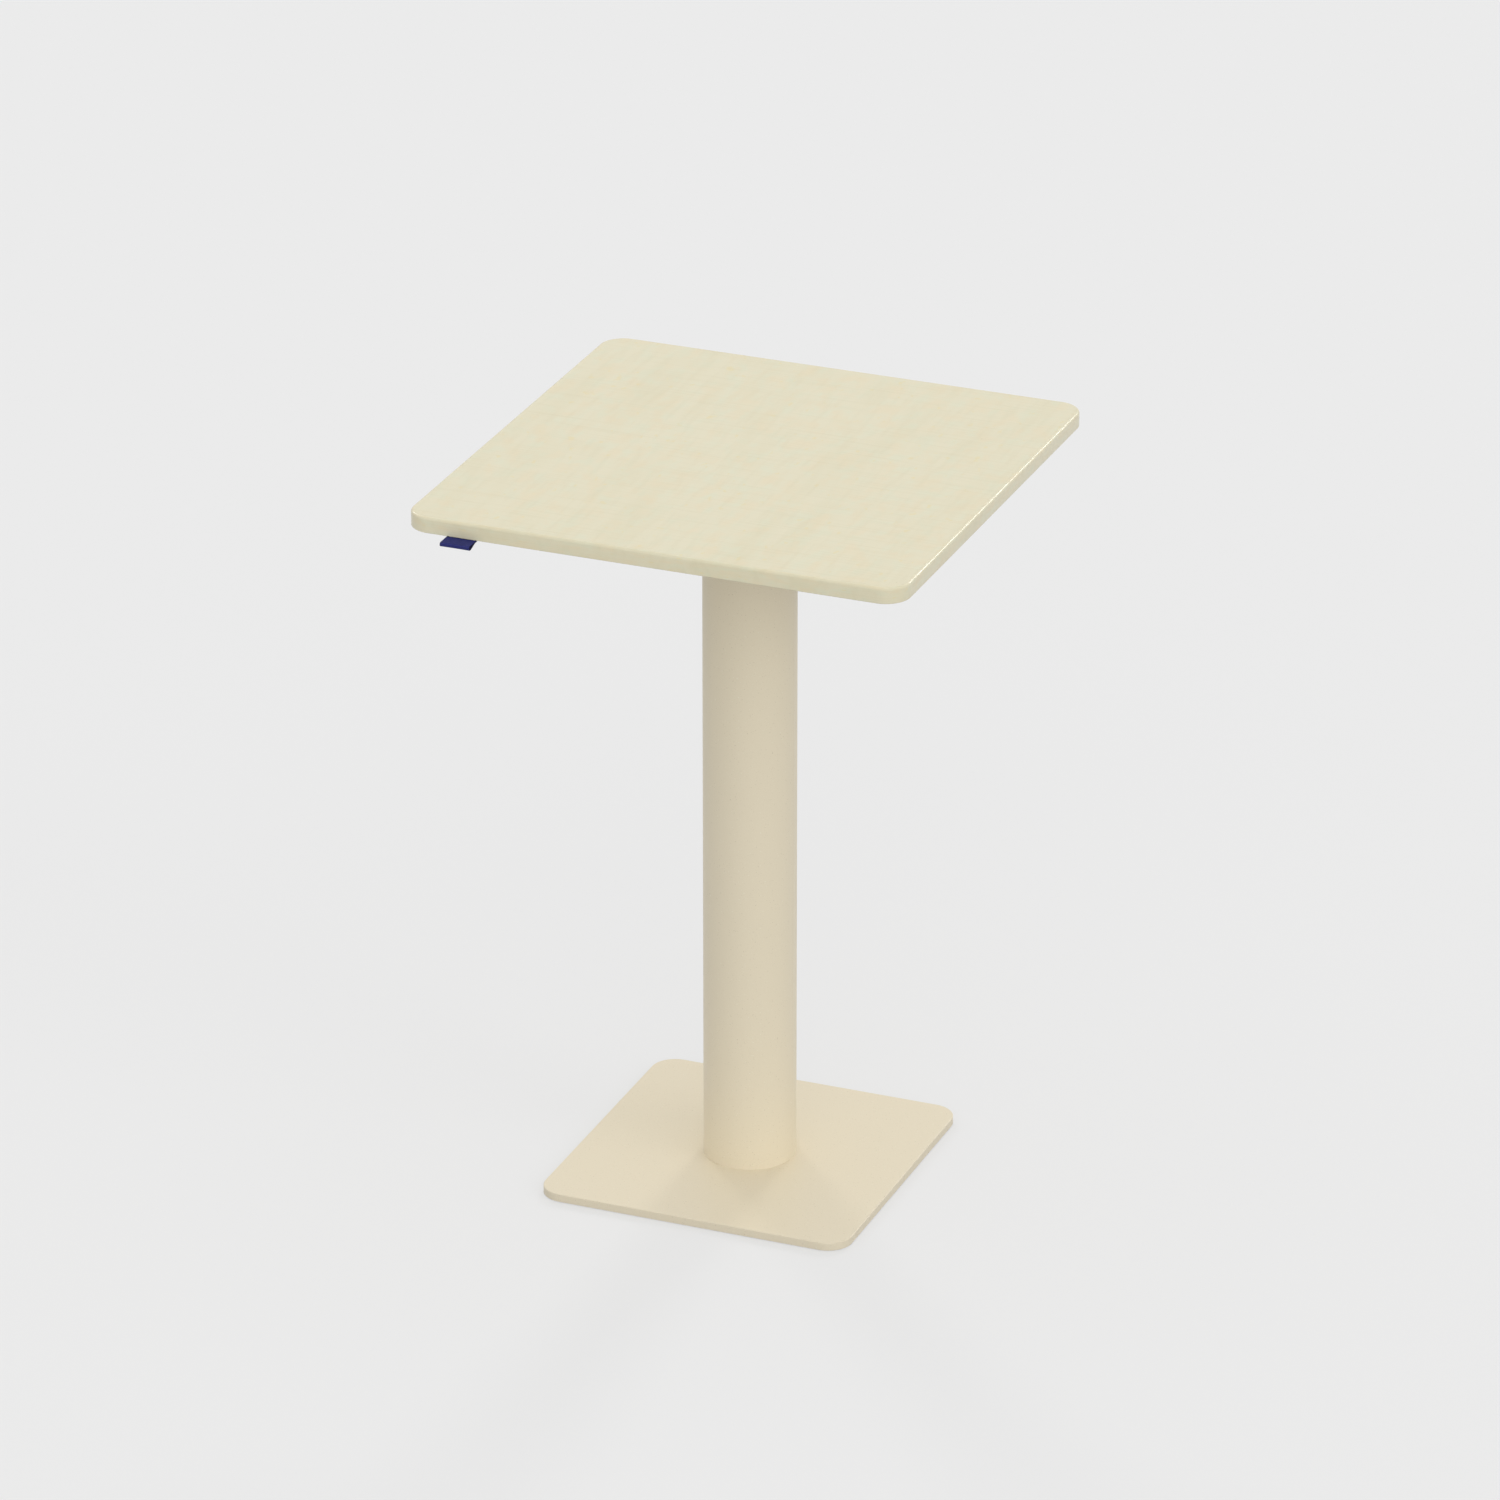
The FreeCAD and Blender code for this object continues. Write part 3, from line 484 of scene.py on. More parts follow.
# Hard-chromed steel, ground between centres. It is near mirror bright, with faint lines round the axis.
HARD_CHROME = Finish(
    name="ground_hard_chromed_steel",
    slot="ground_rod_steel",
    colour="#D2D4D6",
    tints=(Tint("#B9BDC1", turned(1.1), 0.45, 0.75, 0.45),),
    relief=Relief(turned(0.6), 0.004),
    roughness=0.14,
    roughness_swing=0.08,
    metallic=1.0,
)

# Black stoving enamel on a drawn steel cylinder. It is glossy, with a slight orange peel.
BLACK_ENAMEL = Finish(
    name="black_stoving_enamel",
    slot="black_enamel",
    colour="#1B1B1C",
    tints=(Tint("#262627", (30, 30, 60), 0.42, 0.72, 0.60),),
    relief=Relief(even(2.5), 0.02),
    roughness=0.26,
    roughness_swing=0.08,
)

# Acetal, turned from beige bar. It is waxy and smooth, with faint tool lines round the axis.
ACETAL = Finish(
    name="beige_turned_acetal",
    slot="guide_plastic",
    colour="#D3C8AE",
    tints=(
        Tint("#C9BD9F", (40, 40, 25), 0.42, 0.72, 0.40),
        Tint("#BFB293", turned(0.9), 0.52, 0.78, 0.35),
    ),
    relief=Relief(turned(0.7), 0.008),
    roughness=0.42,
    roughness_swing=0.12,
    ior=1.48,
)

# Glass-filled nylon, moulded against a spark-eroded tool. It is deep black with a fine dull grain.
MOULDED_NYLON = Finish(
    name="black_moulded_nylon",
    slot="grip_plastic",
    colour="#232325",
    tints=(Tint("#3A3A3C", even(0.9), 0.55, 0.78, 0.50),),
    relief=Relief(even(0.8), 0.03),
    roughness=0.50,
    roughness_swing=0.14,
    ior=1.53,
)

# Moulded rubber. It is dull black, greyed in patches by bloom and dust.
RUBBER = Finish(
    name="black_moulded_rubber",
    slot="black_rubber",
    colour="#202020",
    tints=(Tint("#343332", even(14), 0.45, 0.72, 0.55),),
    relief=Relief(even(1.1), 0.03),
    roughness=0.78,
    roughness_swing=0.10,
    ior=1.52,
)

# Aluminium, turned. It is silvery, with tool lines round the axis.
ALUMINIUM = Finish(
    name="turned_aluminium",
    slot="piston_aluminium",
    colour="#CFD1D3",
    tints=(Tint("#B3B6B9", turned(0.6), 0.45, 0.75, 0.50),),
    relief=Relief(turned(0.4), 0.01),
    roughness=0.30,
    roughness_swing=0.14,
    metallic=1.0,
)

# Brass, turned and a little tarnished. It is yellow with brown clouds and tool lines round the axis.
BRASS = Finish(
    name="turned_brass",
    slot="insert_brass",
    colour="#C9A557",
    tints=(
        Tint("#A5813C", even(6), 0.48, 0.72, 0.50),
        Tint("#DDBE77", turned(0.5), 0.50, 0.75, 0.40),
    ),
    relief=Relief(turned(0.4), 0.008),
    roughness=0.32,
    roughness_swing=0.14,
    metallic=1.0,
)

# Polyester ribbon, woven plain and heat-folded. Its face is navy and dull, with a grid of threads
# that is drawn at 1.5 mm, about three times the real spacing.
RIBBON = Weave(
    name="navy_woven_polyester_ribbon",
    slot="navy_ribbon",
    colour="#363B84",
    tints=(Tint("#282C69", (3.0, 3.0, 1), 0.45, 0.72, 0.60),),
    relief=Relief(even(1.5), 0.15),
    roughness=0.88,
    ior=1.4,
    follows=Follows.SURFACE,
    thread_mm=1.5,
    valley="#1B1E52",
)

# Painted shade on the inner faces of the same ribbon: a much darker navy that keeps the inside of the
# loop dark.
RIBBON_BACK = Finish(
    name="navy_ribbon_back",
    slot="navy_ribbon",
    colour="#14163C",
    tints=(Tint("#0D0E2A", (1.5, 1.5, 1), 0.45, 0.72, 0.70),),
    relief=Relief(even(1.5), 0.10),
    roughness=0.92,
    ior=1.4,
    follows=Follows.SURFACE,
)

FINISHES = (
    VENEER, POWDER_COAT, ZINC_PLATE, HARD_CHROME, BLACK_ENAMEL, ACETAL,
    MOULDED_NYLON, RUBBER, ALUMINIUM, BRASS, RIBBON,
)


def new_piece(name: str, vertices: Sequence[Vector], faces: Sequence[Sequence[int]]) -> bpy.types.Object:
    """Makes a mesh object with smooth faces and crisp corners, its place in its mesh.

    Args:
        name: Name of the piece.
        vertices: Points in the frame.
        faces: Corners of each face, by the points' numbers.

    Returns:
        The object, linked to the scene.
    """
    mesh = bpy.data.meshes.new(name)
    mesh.from_pydata([tuple(point) for point in vertices], [], [tuple(corners) for corners in faces])
    mesh.shade_smooth()
    mesh.set_sharp_from_angle(angle=SHARP_ANGLE)
    piece = bpy.data.objects.new(name, mesh)
    bpy.context.scene.collection.objects.link(piece)
    return piece


def loft(name: str, rings: Sequence[Ring]) -> bpy.types.Object:
    """Skins a row of rings and closes both ends.

    Args:
        name: Name of the piece.
        rings: Rings with as many points each, anticlockwise about the way that they go.

    Returns:
        The closed piece, its side faces first and its two end faces last.
    """
    count = len(rings[0])
    faces = []
    for level in range(len(rings) - 1):
        for corner in range(count):
            following = (corner + 1) % count
            low, high = level * count, (level + 1) * count
            faces.append((low + corner, low + following, high + following, high + corner))
    last = (len(rings) - 1) * count
    faces.append(tuple(reversed(range(count))))
    faces.append(tuple(range(last, last + count)))
    return new_piece(name, [point for ring in rings for point in ring], faces)


def bake(piece: bpy.types.Object) -> None:
    """Turns a piece's modifiers into its plain mesh.

    Args:
        piece: The piece, which loses its modifiers.
    """
    evaluated = piece.evaluated_get(bpy.context.evaluated_depsgraph_get())
    mesh = bpy.data.meshes.new_from_object(evaluated)
    piece.modifiers.clear()
    piece.data = mesh
    mesh.name = piece.name


def finish_piece(piece: bpy.types.Object, finish: Finish, body: Body, *stands_for: str) -> None:
    """Gives a new piece its material, its body and the nodes that it stands for.

    Args:
        piece: The piece, in its final shape.
        finish: Its surface, or its main one if it has its materials already.
        body: The body that it rides on.
        stands_for: Nodes that it replaces.
    """
    if not piece.data.materials:
        piece.data.materials.append(finish.material())
    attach(piece, body.value)
    if stands_for:
        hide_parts(*stands_for)


def rounded_square(side: float, radius: float, height: float, steps: int) -> list[Vector]:
    """Draws a flat square with round corners.

    Args:
        side: Length of its sides.
        radius: Radius of its corners.
        height: Height at which it lies.
        steps: Straight pieces in each corner.

    Returns:
        Its points, anticlockwise seen from above.
    """
    reach = side / 2 - radius
    centres = ((reach, reach), (-reach, reach), (-reach, -reach), (reach, -reach))
    points = []
    for quarter, (x, y) in enumerate(centres):
        for step in range(steps + 1):
            angle = (quarter + step / steps) * QUARTER_TURN
            points.append(Vector((x + radius * math.cos(angle), y + radius * math.sin(angle), height)))
    return points


def lengths_along(line: Sequence[Pair]) -> list[float]:
    """Measures a flat line from its start to each of its points.

    Args:
        line: Points of the line.

    Returns:
        A length for each point, from 0.
    """
    lengths = [0.0]
    for start, end in zip(line, line[1:]):
        lengths.append(lengths[-1] + math.dist(start, end))
    return lengths


class GeometryTree:
    """A geometry node tree with named inputs, run once to give a plain mesh."""

    def __init__(self, name: str, values: dict[str, object]) -> None:
        """Starts the tree.

        Args:
            name: Name of the tree.
            values: A value for each named input.
        """
        self.values = values
        self.tree = bpy.data.node_groups.new(name, "GeometryNodeTree")
        for label, value in values.items():
            kind = SOCKET_KINDS[type(value)]
            self.tree.interface.new_socket(label, in_out="INPUT", socket_type=kind)
        self.tree.interface.new_socket("Geometry", in_out="OUTPUT", socket_type="NodeSocketGeometry")
        self.inputs = add_node(self.tree, "NodeGroupInput").outputs

    def plant(
        self, points: bpy.types.NodeSocket, shape: bpy.types.NodeSocket, **placing: object
    ) -> None:
        """Ends the tree with a shape on every point.

        Args:
            points: Where the shapes go.
            shape: The shape that repeats.
            placing: Rotation or Scale of the shapes.
        """
        planted = add_node(
            self.tree, "GeometryNodeInstanceOnPoints", {"Points": points, "Instance": shape, **placing}
        )
        real = add_node(
            self.tree, "GeometryNodeRealizeInstances", {"Geometry": planted.outputs["Instances"]}
        )
        dressed = add_node(
            self.tree, "GeometryNodeSetMaterial",
            {"Geometry": real.outputs["Geometry"], "Material": self.inputs["Finish"]},
        )
        add_node(self.tree, "NodeGroupOutput", {"Geometry": dressed.outputs["Geometry"]})

    def grow(self, name: str) -> bpy.types.Object:
        """Runs the tree, keeps its result and removes the form that it repeats.

        Args:
            name: Name of the new piece.

        Returns:
            The piece, a plain mesh.
        """
        piece = bpy.data.objects.new(name, bpy.data.meshes.new(name))
        bpy.context.scene.collection.objects.link(piece)
        modifier = piece.modifiers.new("grow", "NODES")
        modifier.node_group = self.tree
        identifiers = {
            item.name: item.identifier
            for item in self.tree.interface.items_tree
            if item.in_out == "INPUT"
        }
        for label, value in self.values.items():
            modifier[identifiers[label]] = value
        bake(piece)
        piece.data.shade_smooth()
        piece.data.set_sharp_from_angle(angle=SHARP_ANGLE)
        for value in self.values.values():
            if isinstance(value, bpy.types.Object):
                bpy.data.objects.remove(value)
        return piece


class SubAssembly:
    """A group of pieces that belong together on the table."""

    def build(self) -> list[bpy.types.Object]:
        """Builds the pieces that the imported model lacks, or that replace its nodes."""
        return []


@dataclass
class Board(SubAssembly):
    """Veneered board of the top, with a rounded upper edge."""

    node: str = "table_top"
    corner_radius: float = 25 * MM
    edge_radius: float = 3 * MM
    lower_edge_radius: float = 1 * MM
    flat_margin: float = 1 * MM
    corner_steps: int = 20
    edge_steps: int = 10
    edge_grain_offset: float = 2.0  # moves the edge's figure away from that of the flat faces
    edge_figure_share: Pair = (0.8, 4.0)  # how much denser the figure is along the edge and across it

    def profile(self, thickness: float) -> list[Pair]:
        """Gives the edge's section from the lower face to the upper.

        Args:
            thickness: Thickness of the board.

        Returns:
            Pairs of the setback from the outline and the height above the lower face.
        """
        section = [(self.lower_edge_radius + self.flat_margin, 0.0)]
        for radius, foot, first in (
            (self.lower_edge_radius, self.lower_edge_radius, -1),
            (self.edge_radius, thickness - self.edge_radius, 0),
        ):
            for step in range(self.edge_steps + 1):
                angle = (first + step / self.edge_steps) * QUARTER_TURN
                section.append((radius - radius * math.cos(angle), foot + radius * math.sin(angle)))
        section.append((self.edge_radius + self.flat_margin, thickness))
        return section

    def lay_grain(self, piece: bpy.types.Object, count: int, section: list[Pair]) -> None:
        """Runs the grain along X on the flat faces and along the edge on the sides.

        Args:
            piece: The board.
            count: Points in each of its rings.
            section: Its edge's section, which has one point for each ring.
        """
        points = [vertex.co for vertex in piece.data.vertices]
        widest = next(level for level, (setback, _) in enumerate(section) if setback < TINY) * count
        around = [0.0]
        for corner in range(count):
            span = points[widest + (corner + 1) % count] - points[widest + corner]
            around.append(around[-1] + span.length)
        rise = lengths_along(section)
        along, across = self.edge_figure_share
        top_row = len(section) - 2
        spots = piece.data.uv_layers.new(name=GRAIN_UV).data
        for face in piece.data.polygons:
            row, corner = divmod(face.index, count)
            for loop in face.loop_indices:
                point = piece.data.loops[loop].vertex_index
                level, ring_corner = divmod(point, count)
                if row == 0 or row >= top_row:
                    spots[loop].uv = points[point].xy
                    continue
                wrapped = count if ring_corner == 0 and corner == count - 1 else ring_corner
                spots[loop].uv = (around[wrapped] * along + self.edge_grain_offset, rise[level] * across)

    def build(self) -> list[bpy.types.Object]:
        """Builds the board in place of its plain node.

        Returns:
            The board.
        """
        low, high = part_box(self.node)
        side = high.x - low.x
        section = self.profile(high.z - low.z)
        rings = []
        for setback, height in section:
            radius = self.corner_radius - setback
            rings.append(rounded_square(side - 2 * setback, radius, low.z + height, self.corner_steps))
        board = loft("veneered_board", rings)
        self.lay_grain(board, len(rings[0]), section)
        finish_piece(board, VENEER, Body.RISER, self.node)
        return [board]


@dataclass
class RibbonTab(SubAssembly):
    """Ribbon folded to a flat loop and stapled under the board's front edge."""

    node: str = "label_tab"
    board: str = "table_top"
    cloth: float = 0.6 * MM
    layer_gap: float = 0.05 * MM
    bow: float = 0.12 * MM
    fold_steps: int = 14
    run_steps: int = 14
    width_steps: int = 16
    staple_width: float = 9 * MM
    staple_wire: float = 0.7 * MM
    staple_leg: float = 5 * MM
    staples: int = 2

    def line(self) -> list[Pair]:
        """Gives the ribbon's middle line, from its upper end round the fold to its lower end.

        Returns:
            Pairs of Y and Z.
        """
        low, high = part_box(self.node)
        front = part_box(self.board)[0].y
        upper, lower = high.z - self.cloth / 2, low.z + self.cloth / 2
        tucked = upper - self.cloth - self.layer_gap
        radius = (upper - lower) / 2
        fold = low.y + self.cloth / 2 + radius
        steps = range(1, self.run_steps + 1)
        points = [(high.y, upper)]
        points += [(high.y + (fold - high.y) * step / self.run_steps, upper) for step in steps]
        for step in range(1, self.fold_steps + 1):
            angle = QUARTER_TURN + math.pi * step / self.fold_steps
            points.append((fold + radius * math.cos(angle), upper - radius + radius * math.sin(angle)))
        for step in steps:
            share = step / self.run_steps
            ease = share * share * (3 - 2 * share)  # level at both ends
            points.append((fold + (front - fold) * share, lower + (tucked - lower) * ease))
        points += [(front + (high.y - front) * step / self.run_steps, tucked) for step in steps]
        return points

    def weave_ribbon(self) -> tuple[bpy.types.Object, float]:
        """Builds the ribbon from its middle line.

        Returns:
            The ribbon and the length of its middle line.
        """
        low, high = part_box(self.node)
        width, depth = high.x - low.x, high.z - low.z
        line = self.line()
        lengths = lengths_along(line)
        points, spots = [], []
        for (along, height), length in zip(line, lengths):
            loose = (high.z - self.cloth / 2 - height) / depth
            for step in range(self.width_steps + 1):
                share = step / self.width_steps
                sag = self.bow * loose * math.sin(math.pi * share)
                points.append(Vector((low.x + width * share, along, height + sag)))
                spots.append((points[-1].x, length))
        row = self.width_steps + 1
        faces = [
            (start + step, start + step + 1, start + row + step + 1, start + row + step)
            for start in range(0, len(points) - row, row)
            for step in range(self.width_steps)
        ]
        ribbon = new_piece("ribbon_tab", points, faces)
        # The first of these is painted shade, for the faces inside the loop; the offset faces get the
        # ribbon's own face.
        for finish in (RIBBON_BACK, RIBBON):
            ribbon.data.materials.append(finish.material())
        layer = ribbon.data.uv_layers.new(name=GRAIN_UV).data
        for loop in ribbon.data.loops:
            layer[loop.index].uv = spots[loop.vertex_index]
        thick = ribbon.modifiers.new("cloth", "SOLIDIFY")
        thick.thickness = self.cloth
        thick.offset = 0.0
        thick.material_offset = 1
        bake(ribbon)
        return ribbon, lengths[-1]

    def drive_staples(self) -> bpy.types.Object:
        """Sets a row of staples through the ribbon into the board.

        Returns:
            The staples, as one piece.
        """
        low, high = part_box(self.node)
        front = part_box(self.board)[0].y
        half, wire, leg = self.staple_width / 2, self.staple_wire, self.staple_leg
        inner = half - wire
        outline = (
            (-half, 0), (half, 0), (half, leg), (inner, leg),
            (inner, wire), (-inner, wire), (-inner, leg), (-half, leg),
        )
        rings = [[Vector((x, y, z)) for x, z in outline] for y in (wire / 2, -wire / 2)]
        pitch = (high.x - low.x) / self.staples
        under = high.z - 2 * self.cloth - self.layer_gap - wire
        row = GeometryTree(
            "staple_row",
            {
                "Count": self.staples,
                "Start": (low.x + pitch / 2, (front + high.y) / 2, under),
                "Step": (pitch, 0.0, 0.0),
                "Staple": loft("staple_form", rings),
                "Finish": ZINC_PLATE.material(),
            },
        )
        line = add_node(
            row.tree, "GeometryNodeMeshLine",
            {
                "Count": row.inputs["Count"],
                "Start Location": row.inputs["Start"],
                "Offset": row.inputs["Step"],
            },
            mode="OFFSET",
        )
        form = add_node(row.tree, "GeometryNodeObjectInfo", {"Object": row.inputs["Staple"]})
        row.plant(line.outputs["Mesh"], form.outputs["Geometry"])
        return row.grow("tab_staples")

    def build(self) -> list[bpy.types.Object]:
        """Builds the ribbon in place of its plain node, with its staples.

        Returns:
            The ribbon and the staples.
        """
        ribbon, length = self.weave_ribbon()
        finish_piece(ribbon, RIBBON, Body.RISER, self.node)
        staples = self.drive_staples()
        finish_piece(staples, ZINC_PLATE, Body.RISER)
        return [ribbon, staples]


@dataclass
class Underframe(SubAssembly):
    """Plate under the board: the screws that hold it and the weld that joins it to the rising tube."""

    screws_node: str = "plate_screws"
    tube_node: str = "inner_tube"
    head_diameter: float = 11 * MM
    head_height: float = 4 * MM
    rim_height: float = 0.8 * MM
    shank_diameter: float = 6 * MM
    socket_flats: float = 4 * MM
    socket_depth: float = 2.2 * MM
    round_points: int = 36
    dome_angle: float = math.radians(60)
    dome_steps: int = 6
    bead: float = 2.1 * MM
    bead_offset: float = 0.7 * MM  # from the corner between tube and plate to the bead's middle
    ripple: float = 1.5 * MM
    drop_segments: int = 10
    drop_rings: int = 7
    drop_scatter: Pair = (0.90, 1.08)  # least and greatest size of a ripple, as a share of the bead
    weld_seed: int = 11

    def circle(self, radius: float, height: float) -> list[Vector]:
        """Draws a circle of the screw, clockwise seen from above."""
        turns = [-math.tau * point / self.round_points for point in range(self.round_points)]
        return [Vector((radius * math.cos(turn), radius * math.sin(turn), height)) for turn in turns]

    def hexagon(self, flats: float, height: float) -> list[Vector]:
        """Draws a hexagon with as many points as a circle of the screw.

        Args:
            flats: Width across its flats.
            height: Height at which it lies.

        Returns:
            Its points, clockwise seen from above.
        """
        sector = math.tau / 6
        points = []
        for point in self.circle(1.0, height):
            turn = math.atan2(point.y, point.x)
            reach = flats / 2 / math.cos((turn + sector / 2) % sector - sector / 2)
            points.append(Vector((reach * math.cos(turn), reach * math.sin(turn), height)))
        return points

    def screw_form(self, shank_length: float) -> bpy.types.Object:
        """Builds one button-head screw that points up, with a hexagon socket.

        Args:
            shank_length: Length of the shank above the head's seat.

        Returns:
            The screw, its seat at the origin.
        """
        half = self.head_diameter / 2
        crown = self.head_height - self.rim_height
        rings = [self.circle(self.shank_diameter / 2, height) for height in (shank_length, 0.0)]
        rings += [self.circle(half, height) for height in (0.0, -self.rim_height)]
        for step in range(1, self.dome_steps + 1):
            angle = step / self.dome_steps * self.dome_angle
            rise = crown * math.sin(angle) / math.sin(self.dome_angle)
            rings.append(self.circle(half * math.cos(angle), -self.rim_height - rise))
        rings += [
            self.hexagon(self.socket_flats, height)
            for height in (-self.head_height, self.socket_depth - self.head_height)
        ]
        return loft("screw_form", rings)

    def drive_screws(self) -> bpy.types.Object:
        """Sets the screws at the corners of their square.

        Returns:
            The screws, as one piece.
        """
        low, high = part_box(self.screws_node)
        seat = low.z + self.head_height
        square = GeometryTree(
            "screw_square",
            {
                "Spacing": high.x - low.x - self.head_diameter,
                "Seat": (0.0, 0.0, seat),
                "Screw": self.screw_form(high.z - seat),
                "Finish": ZINC_PLATE.material(),
            },
        )
        corners = add_node(
            square.tree, "GeometryNodeMeshGrid",
            {
                "Size X": square.inputs["Spacing"],
                "Size Y": square.inputs["Spacing"],
                "Vertices X": 2,
                "Vertices Y": 2,
            },
        )
        seated = add_node(
            square.tree, "GeometryNodeTransform",
            {"Geometry": corners.outputs["Mesh"], "Translation": square.inputs["Seat"]},
        )
        form = add_node(square.tree, "GeometryNodeObjectInfo", {"Object": square.inputs["Screw"]})
        square.plant(seated.outputs["Geometry"], form.outputs["Geometry"])
        return square.grow("button_head_screws")

    def lay_weld(self) -> bpy.types.Object:
        """Lays a rippled bead round the tube where it meets the plate.

        Returns:
            The bead.
        """
        low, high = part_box(self.tube_node)
        radius = (high.x - low.x) / 2 + self.bead_offset
        weld = GeometryTree(
            "weld_ring",
            {
                "Radius": radius,
                "Bead": self.bead,
                "Ripples": round(math.tau * radius / self.ripple),
                "Place": (0.0, 0.0, high.z - self.bead_offset),
                "Seed": self.weld_seed,
                "Finish": COATED_WELD.material(),
            },
        )
        ring = add_node(
            weld.tree, "GeometryNodeCurvePrimitiveCircle",
            {"Radius": weld.inputs["Radius"], "Resolution": weld.inputs["Ripples"]},
            mode="RADIUS",
        )
        raised = add_node(
            weld.tree, "GeometryNodeTransform",
            {"Geometry": ring.outputs["Curve"], "Translation": weld.inputs["Place"]},
        )
        spots = add_node(
            weld.tree, "GeometryNodeCurveToPoints",
            {"Curve": raised.outputs["Geometry"], "Count": weld.inputs["Ripples"]},
            mode="COUNT",
        )
        drop = add_node(
            weld.tree, "GeometryNodeMeshUVSphere",
            {"Segments": self.drop_segments, "Rings": self.drop_rings, "Radius": weld.inputs["Bead"]},
        )
        least, most = self.drop_scatter
        uneven = add_node(
            weld.tree, "FunctionNodeRandomValue",
            {RANDOM_LEAST: least, RANDOM_MOST: most, "Seed": weld.inputs["Seed"]},
            data_type="FLOAT",
        )
        weld.plant(
            spots.outputs["Points"],
            drop.outputs["Mesh"],
            Rotation=spots.outputs["Rotation"],
            Scale=uneven.outputs[RANDOM_RESULT],
        )
        return weld.grow("plate_weld")

    def build(self) -> list[bpy.types.Object]:
        """Builds the screws in place of their plain nodes, and the weld.

        Returns:
            The screws and the weld.
        """
        screws = self.drive_screws()
        finish_piece(screws, ZINC_PLATE, Body.RISER, self.screws_node)
        weld = self.lay_weld()
        finish_piece(weld, COATED_WELD, Body.RISER)
        return [screws, weld]


@dataclass
class ReleaseGrip(SubAssembly):
    """Ribs in the finger saddle under the release lever's grip."""

    node: str = "lever_grip"
    saddle_radius: float = 22 * MM
    saddle_depth: float = 1.6 * MM
    saddle_angle: float = math.radians(28)
    ribs: int = 7
    rib_radius: float = 0.7 * MM
    rib_length: float = 18 * MM
    rib_points: int = 12
    end_steps: int = 3
    tip_share: float = 0.2  # share of a step at which a rib's end is cut flat

    def rib_form(self) -> bpy.types.Object:
        """Builds one rib with round ends, lying along Y.

        Returns:
            The rib, its middle at the origin.
        """
        whole = self.end_steps + self.tip_share
        steps = range(self.end_steps + 1)
        tilts = [QUARTER_TURN * (1 - (step + self.tip_share) / whole) for step in steps]
        turns = [math.tau * point / self.rib_points for point in range(self.rib_points)]
        rings = []
        for end, order in ((-1, tilts), (1, tilts[::-1])):
            for tilt in order:
                reach = self.rib_radius * math.cos(tilt)
                along = end * (self.rib_length / 2 - self.rib_radius + self.rib_radius * math.sin(tilt))
                rings.append([Vector((reach * math.sin(t), along, reach * math.cos(t))) for t in turns])
        return loft("rib_form", rings)

    def build(self) -> list[bpy.types.Object]:
        """Sets the ribs along the saddle's arc.

        Returns:
            The ribs, as one piece.
        """
        low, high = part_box(self.node)
        arc = GeometryTree(
            "saddle_ribs",
            {
                "Count": self.ribs,
                "Radius": self.saddle_radius,
                "Start": QUARTER_TURN - self.saddle_angle / 2,
                "Angle": self.saddle_angle,
                "Centre": ((low.x + high.x) / 2, 0.0, low.z + self.saddle_depth - self.saddle_radius),
                "Rib": self.rib_form(),
                "Finish": MOULDED_NYLON.material(),
            },
        )
        path = add_node(
            arc.tree, "GeometryNodeCurveArc",
            {
                "Resolution": arc.inputs["Count"],
                "Radius": arc.inputs["Radius"],
                "Start Angle": arc.inputs["Start"],
                "Sweep Angle": arc.inputs["Angle"],
            },
            mode="RADIUS",
        )
        upright = add_node(
            arc.tree, "GeometryNodeTransform",
            {
                "Geometry": path.outputs["Curve"],
                "Translation": arc.inputs["Centre"],
                "Rotation": (QUARTER_TURN, 0.0, 0.0),
            },
        )
        spots = add_node(
            arc.tree, "GeometryNodeCurveToPoints",
            {"Curve": upright.outputs["Geometry"], "Count": arc.inputs["Count"]},
            mode="COUNT",
        )
        form = add_node(arc.tree, "GeometryNodeObjectInfo", {"Object": arc.inputs["Rib"]})
        arc.plant(spots.outputs["Points"], form.outputs["Geometry"])
        ribs = arc.grow("grip_ribs")
        finish_piece(ribs, MOULDED_NYLON, Body.LEVER)
        return [ribs]


def direction(azimuth: float, elevation: float) -> Vector:
    """Finds the way from the table to a lamp or to the camera.

    Args:
        azimuth: Degrees from the front, anticlockwise seen from above.
        elevation: Degrees above the floor.

    Returns:
        The way, one metre long.
    """
    turn, rise = math.radians(azimuth), math.radians(elevation)
    return Vector((math.cos(rise) * math.sin(turn), -math.cos(rise) * math.cos(turn), math.sin(rise)))


@dataclass(frozen=True)
class Softbox:
    """A lamp far away, so that it lights the whole floor alike.

    Attributes:
        name: Name of the lamp.
        azimuth: Where it stands, in degrees from the front, anticlockwise seen from above.
        elevation: Degrees above the floor.
        spread: Degrees across which it is seen from the table.
        strength: Light that falls on a face turned to it.
        gives: What of that light the table takes.
    """

    name: str
    azimuth: float
    elevation: float
    spread: float
    strength: float
    gives: Gives = Gives.LIGHT

    def hang(self) -> bpy.types.Object:
        """Adds the lamp to the scene.

        Returns:
            The lamp.
        """
        data = bpy.data.lights.new(self.name, "SUN")
        data.energy = self.strength
        data.angle = math.radians(self.spread)
        lamp = bpy.data.objects.new(self.name, data)
        bpy.context.scene.collection.objects.link(lamp)
        way = direction(self.azimuth, self.elevation)
        lamp.rotation_euler = way.to_track_quat("Z", "Y").to_euler()
        lamp.visible_diffuse = self.gives is Gives.LIGHT
        lamp.visible_glossy = self.gives is Gives.GLINT
        return lamp


